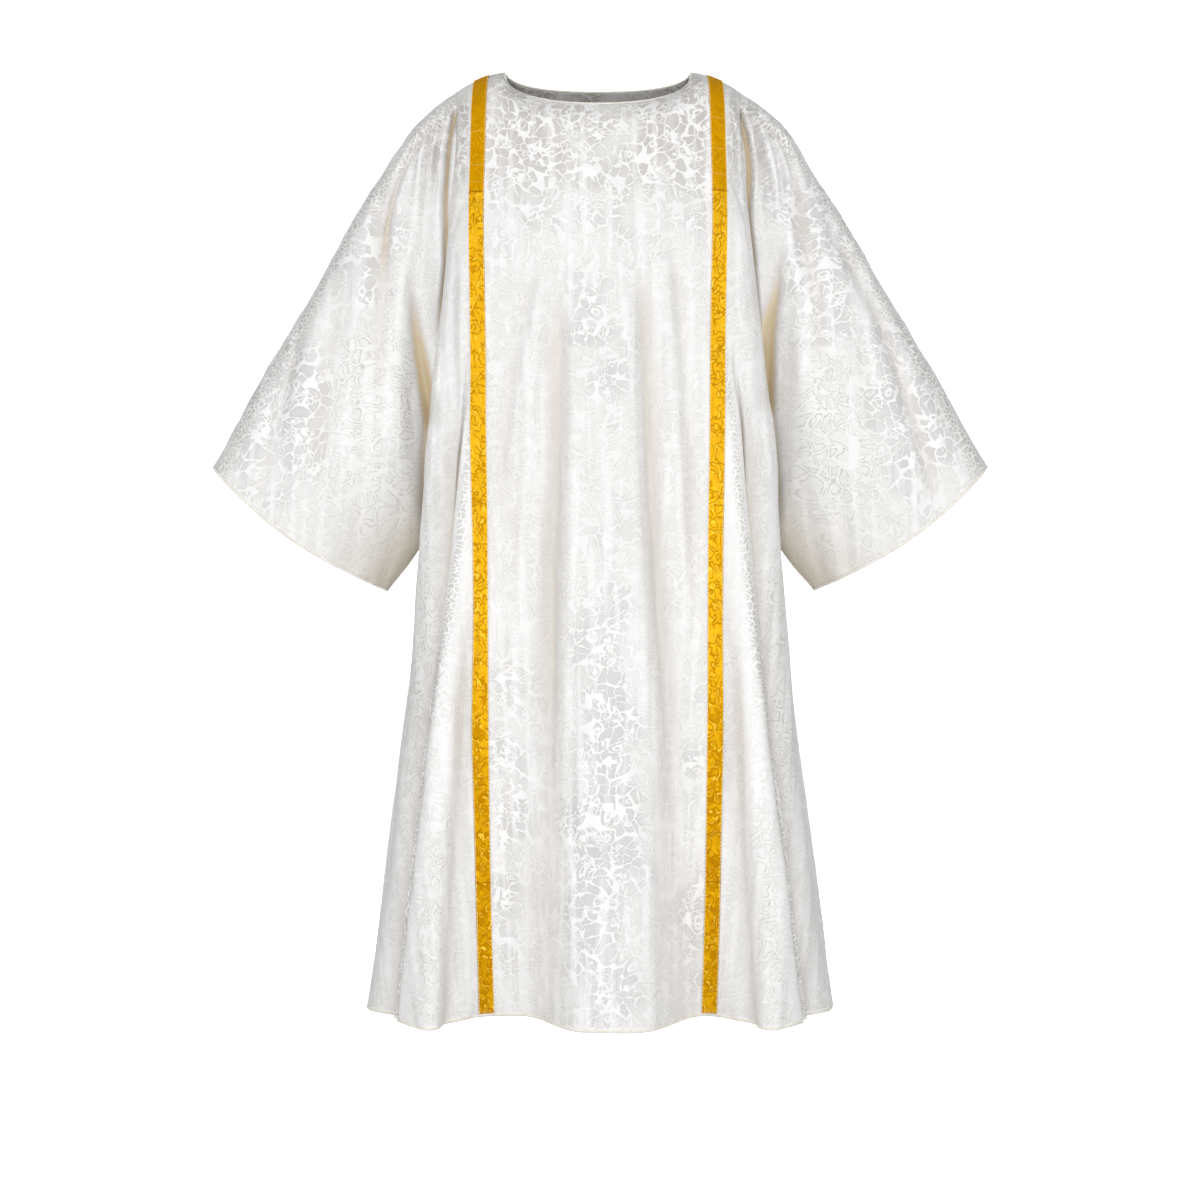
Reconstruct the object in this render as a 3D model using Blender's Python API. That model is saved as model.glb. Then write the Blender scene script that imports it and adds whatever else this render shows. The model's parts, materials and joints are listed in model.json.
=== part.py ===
"""Dalmatic as it hangs on its wearer, hollow and open at neck, cuffs and hem.

The origin is the middle of the neck opening, level with the tops of the shoulders.
+X is the wearer's left, -Y the front and +Z up; every size is in metres.

Front and back are cloth walls through level sections.  A section is a rounded box:
a quarter superellipse on each side, from the middle of the panel to the side seam
or the armhole, with the flutes of the skirt added to its depth.  Each sleeve is a
tube of rings that starts on the armhole.  The gold bands, the neck binding and the
hems are made from the points of the cloth that they are sewn to.
"""
import math

import bmesh
import bpy
import numpy as np

# ---------------------------------------------------------------- driving sizes
CLOTH = 0.0015            # thickness of the damask with its backing
SEAM_GAP = 0.0003         # between two pieces that are sewn together
LENGTH = 1.200            # neck point to hem, straight down
BAND_WIDTH = 0.019        # gold band, edge to edge
BAND_THICK = 0.0010
NECK_HALF = 0.1196        # half the width of the neck opening
NECK_ROUND = 2.3          # superellipse power of the neckline
SHOULDER_END = 0.182      # armhole seam at the top of the shoulder, from the middle
SHOULDER_DROP = 0.0234    # how far the shoulder falls to there
SHOULDER_CURVE = 1.6      # power of that fall
BAND_AT_SHOULDER = 0.150  # middle of a gold band on the shoulder seam
CHEST = 0.100             # below this level the rows of a panel are level
UNDERARM = 0.578          # depth of the armhole's lowest point
HEM_ROLL = 0.0045         # width of the rolled hem
CUFF_ROLL = 0.0040
NECK_ROLL = 0.0030
NECK_GAP = 0.0010         # the neckline turns tightly, so its binding keeps further off
ROLL_PROUD = 0.0005       # a rolled edge is this much thicker on each side
FLUTE_ROOT = 0.060        # a flute fades out this far in front of the side seam
FLUTE_DROP = 0.15         # a flute's hem hangs lower by this share of its depth
LEFT_REACH = 0.006        # the left cuff is this much further out than the right one
CUFF_SWEEP = 0.016        # the cuff's middle reaches past the line between its ends

SLEEVE_SLOPE = (0.58, 0.81)   # direction of a sleeve: outward and down

# neckline: how far it is from the shoulder line at the middle of each panel
NECK_DEPTH = {"front": 0.090, "back": 0.070}
NECK_FALL = {"front": 0.054, "back": 0.014}

# level sections: half widths to each side, depths from the shoulder line,
# power of the corner, middle of the gold band, half opening of the armhole,
# and how far the side is tucked in behind the corner
SECTION_COLUMNS = ("down", "right", "left", "front", "back", "corner", "band", "hole", "tuck")
SECTIONS = (
    (0.100, 0.181, 0.184, 0.118, 0.112, 2.6, 0.1520, 0.052, 0.000),
    (0.190, 0.190, 0.194, 0.132, 0.128, 2.8, 0.1535, 0.064, 0.003),
    (0.310, 0.203, 0.209, 0.139, 0.137, 3.0, 0.1515, 0.060, 0.008),
    (0.400, 0.213, 0.219, 0.143, 0.141, 3.2, 0.1500, 0.053, 0.014),
    (0.500, 0.222, 0.229, 0.147, 0.144, 3.4, 0.1490, 0.038, 0.020),
    (0.578, 0.226, 0.232, 0.149, 0.146, 3.5, 0.1480, 0.000, 0.022),
    (0.684, 0.2353, 0.2418, 0.151, 0.149, 3.8, 0.1472, 0.000, 0.014),
    (0.814, 0.2470, 0.2535, 0.152, 0.151, 4.1, 0.1465, 0.000, 0.005),
    (0.944, 0.2626, 0.2678, 0.151, 0.153, 4.4, 0.1450, 0.000, 0.000),
    (1.074, 0.2780, 0.2847, 0.148, 0.154, 4.6, 0.1430, 0.000, 0.000),
    (1.200, 0.2955, 0.3010, 0.145, 0.155, 4.8, 0.1395, 0.000, 0.000),
)

# flutes of the skirt: where each starts, its place and half width at its start
# and at the hem, its depth at the hem, and how square its top is
FLUTE_COLUMNS = ("panel", "starts", "x_start", "x_hem", "w_start", "w_hem", "rise", "square")
FLUTES = (
    ("front", 0.24, 0.006, 0.018, 0.060, 0.082, 0.075, 4.0),
    ("front", 0.44, -0.178, -0.209, 0.022, 0.039, 0.066, 2.0),
    ("front", 0.40, 0.180, 0.216, 0.022, 0.041, 0.066, 2.0),
    ("back", 0.30, -0.004, -0.012, 0.055, 0.078, 0.062, 3.0),
    ("back", 0.46, -0.182, -0.208, 0.024, 0.038, 0.048, 2.0),
    ("back", 0.50, 0.184, 0.206, 0.024, 0.036, 0.052, 2.0),
)

# sleeve rings: place along the sleeve, top and bottom of the ring, half thickness
SLEEVE_COLUMNS = ("along", "top_out", "top_down", "low_out", "low_down", "half")
SLEEVE_RINGS = (
    (0.000, 0.1820, 0.0234, 0.2050, 0.5780, 0.066),
    (0.106, 0.2301, 0.0598, 0.2110, 0.5900, 0.070),
    (0.273, 0.2874, 0.1435, 0.2220, 0.6060, 0.080),
    (0.581, 0.3766, 0.2962, 0.2440, 0.6350, 0.080),
    (1.000, 0.4985, 0.5080, 0.2720, 0.6690, 0.066),
)

# ---------------------------------------------------------------- mesh density
SHOULDER_ANGLES = (0.0, 25.0, 50.0, 72.0)     # degrees round the top of the shoulder
ARMHOLE_ROWS = 8                              # level rows from the chest to the underarm
SKIRT_ROWS = 6                                # level rows from the underarm to the hem
NECK_COLUMNS = 7                              # from the middle to the neck point
INNER_COLUMNS = NECK_COLUMNS + 1              # from the middle to the gold band
OUTER_COLUMNS = 10                            # from the gold band to the side
HALF_COLUMNS = INNER_COLUMNS + 1 + OUTER_COLUMNS
SLEEVE_STEPS = 9                              # rings along a sleeve
FINE = 181                                    # points that measure a section's length

FACING = {"front": -1.0, "back": 1.0}         # sign of Y on each panel
SIDE = {"right": -1.0, "left": 1.0}           # sign of X on each of the wearer's sides


# ---------------------------------------------------------------- curves
def through(knots, values, place):
    """Smooth curve through a short table: cubic pieces with matched slopes."""
    knots = np.asarray(knots, float)
    values = np.asarray(values, float)
    slopes = np.gradient(values, knots)
    place = np.clip(np.asarray(place, float), knots[0], knots[-1])
    left = np.clip(np.searchsorted(knots, place) - 1, 0, len(knots) - 2)
    span = knots[left + 1] - knots[left]
    t = (place - knots[left]) / span
    start = values[left] * (1 + 2 * t) * (1 - t) ** 2 + slopes[left] * span * t * (1 - t) ** 2
    end = values[left + 1] * t * t * (3 - 2 * t) - slopes[left + 1] * span * t * t * (1 - t)
    return start + end


def column(table, names, name):
    """One named column of a table."""
    return [row[names.index(name)] for row in table]


def section(name, down):
    """Value of one column of the body's table at a level."""
    downs = column(SECTIONS, SECTION_COLUMNS, "down")
    value = through(downs, column(SECTIONS, SECTION_COLUMNS, name), down)
    return np.maximum(value, 0.0)


def ease(x):
    """0 to 1 with no corner at either end."""
    x = np.clip(x, 0.0, 1.0)
    return x * x * (3 - 2 * x)


def flute_depth(panel, x, down):
    """How far the flutes push a panel out at a level."""
    total = np.zeros_like(np.asarray(x, float))
    for row in FLUTES:
        flute = dict(zip(FLUTE_COLUMNS, row))
        if flute["panel"] != panel or down <= flute["starts"]:
            continue
        grown = (down - flute["starts"]) / (LENGTH - flute["starts"])
        middle = flute["x_start"] + (flute["x_hem"] - flute["x_start"]) * grown
        width = flute["w_start"] + (flute["w_hem"] - flute["w_start"]) * grown
        total += (flute["rise"] * grown ** 1.15
                  * np.exp(-np.abs((x - middle) / width) ** flute["square"]))
    return total


# ---------------------------------------------------------------- front and back
def half_row(panel, side, down):
    """Points of one level row, from the middle of the panel out to its edge."""
    tuck = section("tuck", down)
    half = section(side, down) + tuck / 2
    depth = section(panel, down)
    edge = section("hole", down) + SEAM_GAP / 2
    power = 2.0 / section("corner", down)
    turn = np.linspace(0.0, math.pi / 2, FINE)
    x = half * np.sin(turn) ** power - tuck * ease((turn - 1.05) / (math.pi / 2 - 1.05))
    y = edge + (depth - edge) * np.maximum(np.cos(turn), 0.0) ** power
    flute = flute_depth(panel, SIDE[side] * x, down) * ease((y - edge) / FLUTE_ROOT)
    y = y + flute
    length = np.concatenate(([0.0], np.cumsum(np.hypot(np.diff(x), np.diff(y)))))
    rising = slice(0, int(np.argmax(x)) + 1)
    band = section("band", down)
    band_in = np.interp(band - BAND_WIDTH / 2, x[rising], length[rising])
    band_out = np.interp(band + BAND_WIDTH / 2, x[rising], length[rising])
    stops = np.concatenate((np.linspace(0.0, band_in, INNER_COLUMNS + 1),
                            np.linspace(band_out, length[-1], OUTER_COLUMNS + 1)))
    x = SIDE[side] * np.interp(stops, length, x)
    y = np.interp(stops, length, y)
    drop = FLUTE_DROP * np.interp(stops, length, flute)
    return np.stack((x, FACING[panel] * y, -down - drop), axis=1)


def level_row(panel, down):
    """One level row of a panel from the wearer's right edge to the left one."""
    right = half_row(panel, "right", down)[::-1]
    left = half_row(panel, "left", down)
    return np.concatenate((right, left[1:]))


def top_row(panel):
    """The neckline and the two shoulder seams of a panel."""
    turn = np.linspace(0.0, math.pi / 2, NECK_COLUMNS + 1)
    power = 2.0 / NECK_ROUND
    fall = np.maximum(np.cos(turn), 0.0) ** power
    fall[-1] = 0.0
    neck = np.stack((NECK_HALF * np.sin(turn) ** power,
                     SEAM_GAP / 2 + NECK_DEPTH[panel] * fall,
                     -NECK_FALL[panel] * fall), axis=1)
    inner = BAND_AT_SHOULDER - BAND_WIDTH / 2
    outer = BAND_AT_SHOULDER + BAND_WIDTH / 2
    x = np.concatenate(([inner], np.linspace(outer, SHOULDER_END, OUTER_COLUMNS + 1)))
    share = (x - NECK_HALF) / (SHOULDER_END - NECK_HALF)
    shoulder = np.stack((x, np.full_like(x, SEAM_GAP / 2),
                         -SHOULDER_DROP * share ** SHOULDER_CURVE), axis=1)
    half = np.concatenate((neck, shoulder))
    half[:, 1] *= FACING[panel]
    mirrored = half[::-1] * np.array([-1.0, 1.0, 1.0])
    return np.concatenate((mirrored, half[1:]))


def panel_grid(panel):
    """Outer face of the front or the back, row by row from the shoulders to the hem."""
    top = top_row(panel)
    chest = level_row(panel, CHEST)
    first = np.arcsin(np.clip(np.abs(top[:, 1]) / np.abs(chest[:, 1]), 0.0, 0.9))
    rows = []
    for angle in SHOULDER_ANGLES:
        turn = first + (math.pi / 2 - first) * angle / 90.0
        out = (np.sin(turn) - np.sin(first)) / (1 - np.sin(first))
        fall = (np.cos(first) - np.cos(turn)) / np.cos(first)
        across = angle / 90.0
        rows.append(np.stack((top[:, 0] + (chest[:, 0] - top[:, 0]) * across,
                              top[:, 1] + (chest[:, 1] - top[:, 1]) * out,
                              top[:, 2] + (chest[:, 2] - top[:, 2]) * fall), axis=1))
    for down in np.linspace(CHEST, UNDERARM, ARMHOLE_ROWS + 1):
        rows.append(level_row(panel, float(down)))
    for down in np.linspace(UNDERARM, LENGTH, SKIRT_ROWS + 1)[1:]:
        rows.append(level_row(panel, float(down)))
    return np.array(rows)


def grid_normals(grid, outward):
    """Unit normals of a grid of points, turned to the side that `outward` gives."""
    down = np.gradient(grid, axis=0)
    across = np.gradient(grid, axis=1)
    normals = np.cross(down, across)
    normals /= np.linalg.norm(normals, axis=2, keepdims=True)
    return normals * outward


def flatten(normals, axis):
    """Take one axis out of some normals, so that a wall's edge stays on its seam."""
    normals[..., axis] = 0.0
    normals /= np.linalg.norm(normals, axis=-1, keepdims=True)
    return normals


def panel_normals(panel, grid):
    """Normals of a panel; those on its shoulder and side seams don't lean across."""
    normals = grid_normals(grid, -FACING[panel])
    for outward in (-1, 1):
        neck_point = HALF_COLUMNS + outward * NECK_COLUMNS
        normals[0, neck_point] = normals[0, neck_point + outward]
    on_shoulder = np.abs(grid[0, :, 0]) >= NECK_HALF - CLOTH / 10
    normals[0, on_shoulder] = flatten(normals[0, on_shoulder], 1)
    underarm = len(SHOULDER_ANGLES) + ARMHOLE_ROWS
    for edge in (0, -1):
        normals[underarm:, edge] = flatten(normals[underarm:, edge], 1)
    return normals


# ---------------------------------------------------------------- sleeves
def armhole_loop(side, grids):
    """Edge of the armhole: down the front from the shoulder, then up the back."""
    last = len(SHOULDER_ANGLES) + ARMHOLE_ROWS
    edge = -1 if side == "left" else 0
    front = grids["front"][:last + 1, edge].copy()
    back = grids["back"][:last + 1, edge].copy()
    for end in (0, -1):
        front[end, 1] = 0.0
    loop = np.concatenate((front, back[-2:0:-1]))
    loop[:, 0] += SIDE[side] * SEAM_GAP
    return loop


def sleeve_grid(side, grids):
    """Outer face of a sleeve: rings from the armhole to the cuff."""
    loop = armhole_loop(side, grids)
    count = len(loop)
    low = count // 2
    alongs = column(SLEEVE_RINGS, SLEEVE_COLUMNS, "along")
    drop = (-loop[:, 2] - SHOULDER_DROP) / (UNDERARM - SHOULDER_DROP)
    turn = 2 * math.pi * np.arange(count) / count
    even = (1 - np.cos(turn)) / 2
    facing = np.sign(np.arange(count) - low - 0.001)
    facing[[0, low]] = 0.0
    hole = loop[:, 1]
    rings = []
    for along in np.linspace(0.0, 1.0, SLEEVE_STEPS + 1):
        value = {name: float(through(alongs, column(SLEEVE_RINGS, SLEEVE_COLUMNS, name), along))
                 for name in SLEEVE_COLUMNS[1:]}
        share = drop + (even - drop) * along
        round_part = (1 - np.abs(2 * share ** 0.85 - 1) ** 2.2) ** (1 / 2.2)
        open_part = ease(along / 0.35)
        y = hole * (1 - open_part) + facing * value["half"] * round_part * open_part
        out = value["top_out"] + (value["low_out"] - value["top_out"]) * share
        down = value["top_down"] + (value["low_down"] - value["top_down"]) * share
        sweep = CUFF_SWEEP * along * np.sin(math.pi * share)
        out = out + SLEEVE_SLOPE[0] * sweep + (LEFT_REACH * along if side == "left" else 0.0)
        down = down + SLEEVE_SLOPE[1] * sweep
        ring = np.stack((SIDE[side] * out, y, -down), axis=1)
        rings.append(ring)
    rings = np.array(rings)
    near = (1 - np.linspace(0.0, 1.0, SLEEVE_STEPS + 1)) ** 3
    rings += near[:, None, None] * (loop - rings[0])[None]
    return rings


def ring_normals(rings, side):
    """Normals of a tube of rings; the first ring's stay in the armhole's plane."""
    along = np.gradient(rings, axis=0)
    around = np.roll(rings, -1, axis=1) - np.roll(rings, 1, axis=1)
    normals = np.cross(around, along)
    normals /= np.linalg.norm(normals, axis=2, keepdims=True)
    normals *= SIDE[side]
    normals[0] = flatten(normals[0], 0)
    return normals


# ---------------------------------------------------------------- solids
def quad(faces, a, b, c, d):
    """Two triangles, always split the same way, so that pieces in layers keep clear."""
    faces.append((a, b, c))
    faces.append((a, c, d))


def solid_between(name, outer, inner, material, closed=False):
    """Closed wall between two grids of points; `closed` joins the columns round."""
    rows, columns = outer.shape[:2]
    points = np.concatenate((outer.reshape(-1, 3), inner.reshape(-1, 3)))
    below = rows * columns
    faces = []
    spans = columns if closed else columns - 1
    for i in range(rows - 1):
        for j in range(spans):
            k = (j + 1) % columns
            a, b = i * columns + j, (i + 1) * columns + j
            c, d = (i + 1) * columns + k, i * columns + k
            quad(faces, a, b, c, d)
            faces.append((below + a, below + c, below + b))
            faces.append((below + a, below + d, below + c))
    for j in range(spans):
        k = (j + 1) % columns
        last = (rows - 1) * columns
        quad(faces, j, k, below + k, below + j)
        quad(faces, last + k, last + j, below + last + j, below + last + k)
    if not closed:
        for i in range(rows - 1):
            a, b = i * columns, (i + 1) * columns
            quad(faces, b, a, below + a, below + b)
            a, b = a + columns - 1, b + columns - 1
            quad(faces, a, b, below + b, below + a)
    mesh = bpy.data.meshes.new(name)
    mesh.from_pydata([tuple(p) for p in points], [], faces)
    shape = bmesh.new()
    shape.from_mesh(mesh)
    bmesh.ops.recalc_face_normals(shape, faces=shape.faces)
    shape.to_mesh(mesh)
    shape.free()
    mesh.shade_smooth()
    mesh.set_sharp_from_angle(angle=math.radians(50))
    mesh.materials.append(material)
    piece = bpy.data.objects.new(name, mesh)
    garment.objects.link(piece)
    piece.parent = shoulders
    return piece


def edge_roll(name, edge, away, normals, width, material, closed, gap=SEAM_GAP):
    """Four-sided roll along an edge: it starts a seam's gap past the cloth."""
    start = edge + away * gap
    end = edge + away * (gap + width)
    outer = np.stack((start + normals * ROLL_PROUD, end + normals * ROLL_PROUD))
    inner = np.stack((start, end)) - normals[None] * (CLOTH + ROLL_PROUD)
    return solid_between(name, outer, inner, material, closed)


def unit(vectors):
    return vectors / np.linalg.norm(vectors, axis=-1, keepdims=True)


# ---------------------------------------------------------------- the pieces
def make_panel(panel, grid, normals, material):
    """Front or back: one cut of damask from the shoulder seams to the hem."""
    return solid_between(panel + "_panel", grid, grid - normals * CLOTH, material)


def make_band(panel, side, grid, normals, material):
    """Gold band laid on a panel's own points, from the shoulder seam to the hem."""
    middle = HALF_COLUMNS
    if side == "left":
        strip = slice(middle + INNER_COLUMNS, middle + INNER_COLUMNS + 2)
    else:
        strip = slice(middle - INNER_COLUMNS - 1, middle - INNER_COLUMNS + 1)
    points = grid[:, strip]
    lift = normals[:, strip]
    outer = points + lift * (SEAM_GAP + BAND_THICK)
    inner = points + lift * SEAM_GAP
    name = "orphrey_" + panel + "_" + side
    return solid_between(name, outer, inner, material)


def make_hem(panel, grid, normals, material):
    """Rolled hem under a panel's lowest row."""
    away = unit(grid[-1] - grid[-2])
    for edge in (0, -1):
        away[edge, 1] = 0.0
    return edge_roll("hem_binding_" + panel, grid[-1], unit(away), normals[-1],
                     HEM_ROLL, material, closed=False)


def make_cuff(side, rings, normals, material):
    """Rolled hem round the end of a sleeve."""
    away = unit(rings[-1] - rings[-2])
    return edge_roll("cuff_binding_" + side, rings[-1], away, normals[-1],
                     CUFF_ROLL, material, closed=True)


def make_neck(grids, normals, material):
    """Binding round the neckline, front and back in one ring."""
    middle = HALF_COLUMNS
    span = slice(middle - NECK_COLUMNS, middle + NECK_COLUMNS + 1)
    front = grids["front"][0, span].copy()
    back = grids["back"][0, span].copy()
    for end in (0, -1):
        front[end, 1] = 0.0
    ring = np.concatenate((front, back[-2:0:-1]))
    lift = np.concatenate((normals["front"][0, span], normals["back"][0, span][-2:0:-1]))
    around = np.roll(ring, -1, axis=0) - np.roll(ring, 1, axis=0)
    away = unit(np.cross(lift, around))
    centre = ring.mean(axis=0)
    inward = np.sign(np.sum(away * (centre - ring), axis=1))
    away *= inward[:, None]
    return edge_roll("neck_binding", ring, away, lift, NECK_ROLL, material, closed=True,
                     gap=NECK_GAP)


# ---------------------------------------------------------------- scene and materials
def clear_scene():
    for item in list(bpy.data.objects):
        bpy.data.objects.remove(item, do_unlink=True)


def cloth_material(name, colour, roughness, metallic):
    """Principled material with one colour."""
    material = bpy.data.materials.new(name)
    material.use_nodes = True
    shader = material.node_tree.nodes["Principled BSDF"]
    shader.inputs["Base Color"].default_value = (*colour, 1.0)
    shader.inputs["Roughness"].default_value = roughness
    shader.inputs["Metallic"].default_value = metallic
    return material


clear_scene()
garment = bpy.data.collections.new("dalmatic")
bpy.context.scene.collection.children.link(garment)
shoulders = bpy.data.objects.new("shoulder_line", None)
garment.objects.link(shoulders)

damask = cloth_material("ivory_damask", (0.80, 0.78, 0.73), 0.45, 0.0)
gold = cloth_material("gold_braid", (0.86, 0.45, 0.02), 0.40, 0.2)
satin = cloth_material("cream_binding", (0.84, 0.81, 0.74), 0.40, 0.0)

panel_grids = {panel: panel_grid(panel) for panel in FACING}
panel_lifts = {panel: panel_normals(panel, panel_grids[panel]) for panel in FACING}
for panel in FACING:
    make_panel(panel, panel_grids[panel], panel_lifts[panel], damask)
    make_hem(panel, panel_grids[panel], panel_lifts[panel], satin)
    for side in SIDE:
        make_band(panel, side, panel_grids[panel], panel_lifts[panel], gold)
make_neck(panel_grids, panel_lifts, satin)
for side in SIDE:
    rings = sleeve_grid(side, panel_grids)
    lifts = ring_normals(rings, side)
    solid_between("sleeve_" + side, rings, rings - lifts * CLOTH, damask, closed=True)
    make_cuff(side, rings, lifts, satin)
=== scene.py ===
# %% [markdown]
# # A dalmatic in ivory damask
# A dalmatic is the wide-sleeved robe that a deacon wears over an alb.  It is cut from a
# front, a back and two short wide sleeves, and two gold bands run down it from the shoulders.
# The packed model gives the plain cloth walls.  This script loads it as a fixed frame and
# makes the fine cloth, folds, bands, hems and stitches around it, in the same metres.
# %% Load the frame
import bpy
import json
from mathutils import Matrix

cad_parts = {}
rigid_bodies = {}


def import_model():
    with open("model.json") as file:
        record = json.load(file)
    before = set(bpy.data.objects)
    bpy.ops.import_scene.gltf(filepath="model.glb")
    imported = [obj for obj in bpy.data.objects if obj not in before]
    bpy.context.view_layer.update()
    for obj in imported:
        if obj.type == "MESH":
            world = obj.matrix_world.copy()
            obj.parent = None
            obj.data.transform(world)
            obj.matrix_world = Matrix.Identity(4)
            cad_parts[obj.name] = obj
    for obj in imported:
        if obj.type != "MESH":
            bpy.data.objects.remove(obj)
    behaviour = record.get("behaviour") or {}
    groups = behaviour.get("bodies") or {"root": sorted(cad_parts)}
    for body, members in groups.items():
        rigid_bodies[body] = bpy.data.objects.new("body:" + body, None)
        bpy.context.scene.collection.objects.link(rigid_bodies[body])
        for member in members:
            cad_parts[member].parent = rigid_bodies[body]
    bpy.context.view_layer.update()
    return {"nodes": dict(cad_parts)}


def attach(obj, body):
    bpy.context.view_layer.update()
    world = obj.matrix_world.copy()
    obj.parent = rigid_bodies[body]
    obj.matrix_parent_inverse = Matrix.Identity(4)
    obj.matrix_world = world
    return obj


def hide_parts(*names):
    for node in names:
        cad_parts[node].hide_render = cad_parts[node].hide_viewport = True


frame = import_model()
print("nodes:", ", ".join(sorted(frame["nodes"])))

# %% Modules
import json
import math

import bpy
import numpy as np

print("Blender", bpy.app.version_string)

# %% [markdown]
# ## Camera
# The robe is seen straight from the front, a little above the middle of its height, through
# a long lens.  A long lens from far away keeps the cuffs and the hem in true proportion.
# The picture is square, so one number for the lens settles the height of the view too.
# %% Camera
camera_data = bpy.data.cameras.new("front_camera")
camera_data.lens = 90.0
camera_data.sensor_width = 36.0
camera = bpy.data.objects.new("front_camera", camera_data)
camera.location = (0.0026, -3.9, -0.684)
camera.rotation_euler = (math.radians(90.0), 0.0, 0.0)
bpy.context.scene.collection.objects.link(camera)
bpy.context.scene.camera = camera
print("camera stands", -camera.location.y, "m in front of the shoulders")

# %% [markdown]
# ## Sizes of the robe
# The fine cloth follows the same rounded level sections as the plain walls, so it repeats
# their sizes: half widths, depths, the corner's power, the band's place, the armhole and the
# tuck behind the corner, at eleven levels below the shoulders.  A smooth curve goes through
# each column, and the flutes of the skirt are added to the depth.
# %% Sizes
CLOTH = 0.0015            # damask with its backing
SEAM_GAP = 0.0003         # between pieces that are sewn together
LENGTH = 1.200            # shoulder point to hem
BAND_WIDTH = 0.019
BAND_THICK = 0.0010
NECK_HALF = 0.1196
NECK_ROUND = 2.3          # power of the neckline's curve, 2 for an ellipse
SHOULDER_END = 0.182
SHOULDER_DROP = 0.0234
SHOULDER_CURVE = 1.6      # power of the shoulder line's fall
BAND_AT_SHOULDER = 0.150
CHEST = 0.100             # down to where the shoulder's arc ends
UNDERARM = 0.578
HEM_ROLL = 0.0045
CUFF_ROLL = 0.0040
NECK_ROLL = 0.0030
NECK_GAP = 0.0010
ROLL_PROUD = 0.0005
FLUTE_ROOT = 0.060        # how far in front of the side seam a flute is at full size
FLUTE_DROP = 0.15         # how far its edge hangs lower, as a share of its depth
FLUTE_GROWTH = 1.15       # power of its growth down the skirt
TUCK_TURN = 1.05          # angle round the section where the tuck behind a corner begins
LEFT_REACH = 0.006        # the wearer's left sleeve reaches a little further
CUFF_SWEEP = 0.016        # how far the cuff's edge bows out
SLEEVE_SLOPE = (0.58, 0.81)    # direction of the sleeve, out and down
NECK_DEPTH = {"front": 0.090, "back": 0.070}
NECK_FALL = {"front": 0.054, "back": 0.014}
FACING = {"front": -1.0, "back": 1.0}
SIDE = {"right": -1.0, "left": 1.0}       # the wearer's own sides

SECTION_COLUMNS = ("down", "right", "left", "front", "back", "corner", "band", "hole", "tuck")
SECTIONS = (
    (0.100, 0.181, 0.184, 0.118, 0.112, 2.6, 0.1520, 0.052, 0.000),
    (0.190, 0.190, 0.194, 0.132, 0.128, 2.8, 0.1535, 0.064, 0.003),
    (0.310, 0.203, 0.209, 0.139, 0.137, 3.0, 0.1515, 0.060, 0.008),
    (0.400, 0.213, 0.219, 0.143, 0.141, 3.2, 0.1500, 0.053, 0.014),
    (0.500, 0.222, 0.229, 0.147, 0.144, 3.4, 0.1490, 0.038, 0.020),
    (0.578, 0.226, 0.232, 0.149, 0.146, 3.5, 0.1480, 0.000, 0.022),
    (0.684, 0.2353, 0.2418, 0.151, 0.149, 3.8, 0.1472, 0.000, 0.014),
    (0.814, 0.2470, 0.2535, 0.152, 0.151, 4.1, 0.1465, 0.000, 0.005),
    (0.944, 0.2626, 0.2678, 0.151, 0.153, 4.4, 0.1450, 0.000, 0.000),
    (1.074, 0.2780, 0.2847, 0.148, 0.154, 4.6, 0.1430, 0.000, 0.000),
    (1.200, 0.2955, 0.3010, 0.145, 0.155, 4.8, 0.1395, 0.000, 0.000),
)
FLUTE_COLUMNS = ("panel", "starts", "x_start", "x_hem", "w_start", "w_hem", "rise", "square")
FLUTES = (
    ("front", 0.24, 0.006, 0.018, 0.060, 0.082, 0.075, 4.0),
    ("front", 0.44, -0.178, -0.209, 0.022, 0.039, 0.066, 2.0),
    ("front", 0.40, 0.180, 0.216, 0.022, 0.041, 0.066, 2.0),
    ("back", 0.30, -0.004, -0.012, 0.055, 0.078, 0.062, 3.0),
    ("back", 0.46, -0.182, -0.208, 0.024, 0.038, 0.048, 2.0),
    ("back", 0.50, 0.184, 0.206, 0.024, 0.036, 0.052, 2.0),
)
SLEEVE_COLUMNS = ("along", "top_out", "top_down", "low_out", "low_down", "half")
SLEEVE_RINGS = (
    (0.000, 0.1820, 0.0234, 0.2050, 0.5780, 0.066),
    (0.106, 0.2301, 0.0598, 0.2110, 0.5900, 0.070),
    (0.273, 0.2874, 0.1435, 0.2220, 0.6060, 0.080),
    (0.581, 0.3766, 0.2962, 0.2440, 0.6350, 0.080),
    (1.000, 0.4985, 0.5080, 0.2720, 0.6690, 0.066),
)
print("levels of the body:", len(SECTIONS), "and rings of a sleeve:", len(SLEEVE_RINGS))

# %% Curves through the tables
def through(knots, values, place):
    """Smooth curve through a short table."""
    knots, values = np.asarray(knots, float), np.asarray(values, float)
    slopes = np.gradient(values, knots)
    place = np.clip(np.asarray(place, float), knots[0], knots[-1])
    left = np.clip(np.searchsorted(knots, place) - 1, 0, len(knots) - 2)
    span = knots[left + 1] - knots[left]
    t = (place - knots[left]) / span
    start = values[left] * (1 + 2 * t) * (1 - t) ** 2 + slopes[left] * span * t * (1 - t) ** 2
    end = values[left + 1] * t * t * (3 - 2 * t) - slopes[left + 1] * span * t * t * (1 - t)
    return start + end


def column(table, names, name):
    return [row[names.index(name)] for row in table]


def run_along(line):
    """Distance from the first point of a line to each of its points."""
    steps = np.linalg.norm(np.diff(line, axis=0), axis=-1)
    return np.concatenate((np.zeros((1,) + steps.shape[1:]), np.cumsum(steps, axis=0)))


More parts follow.
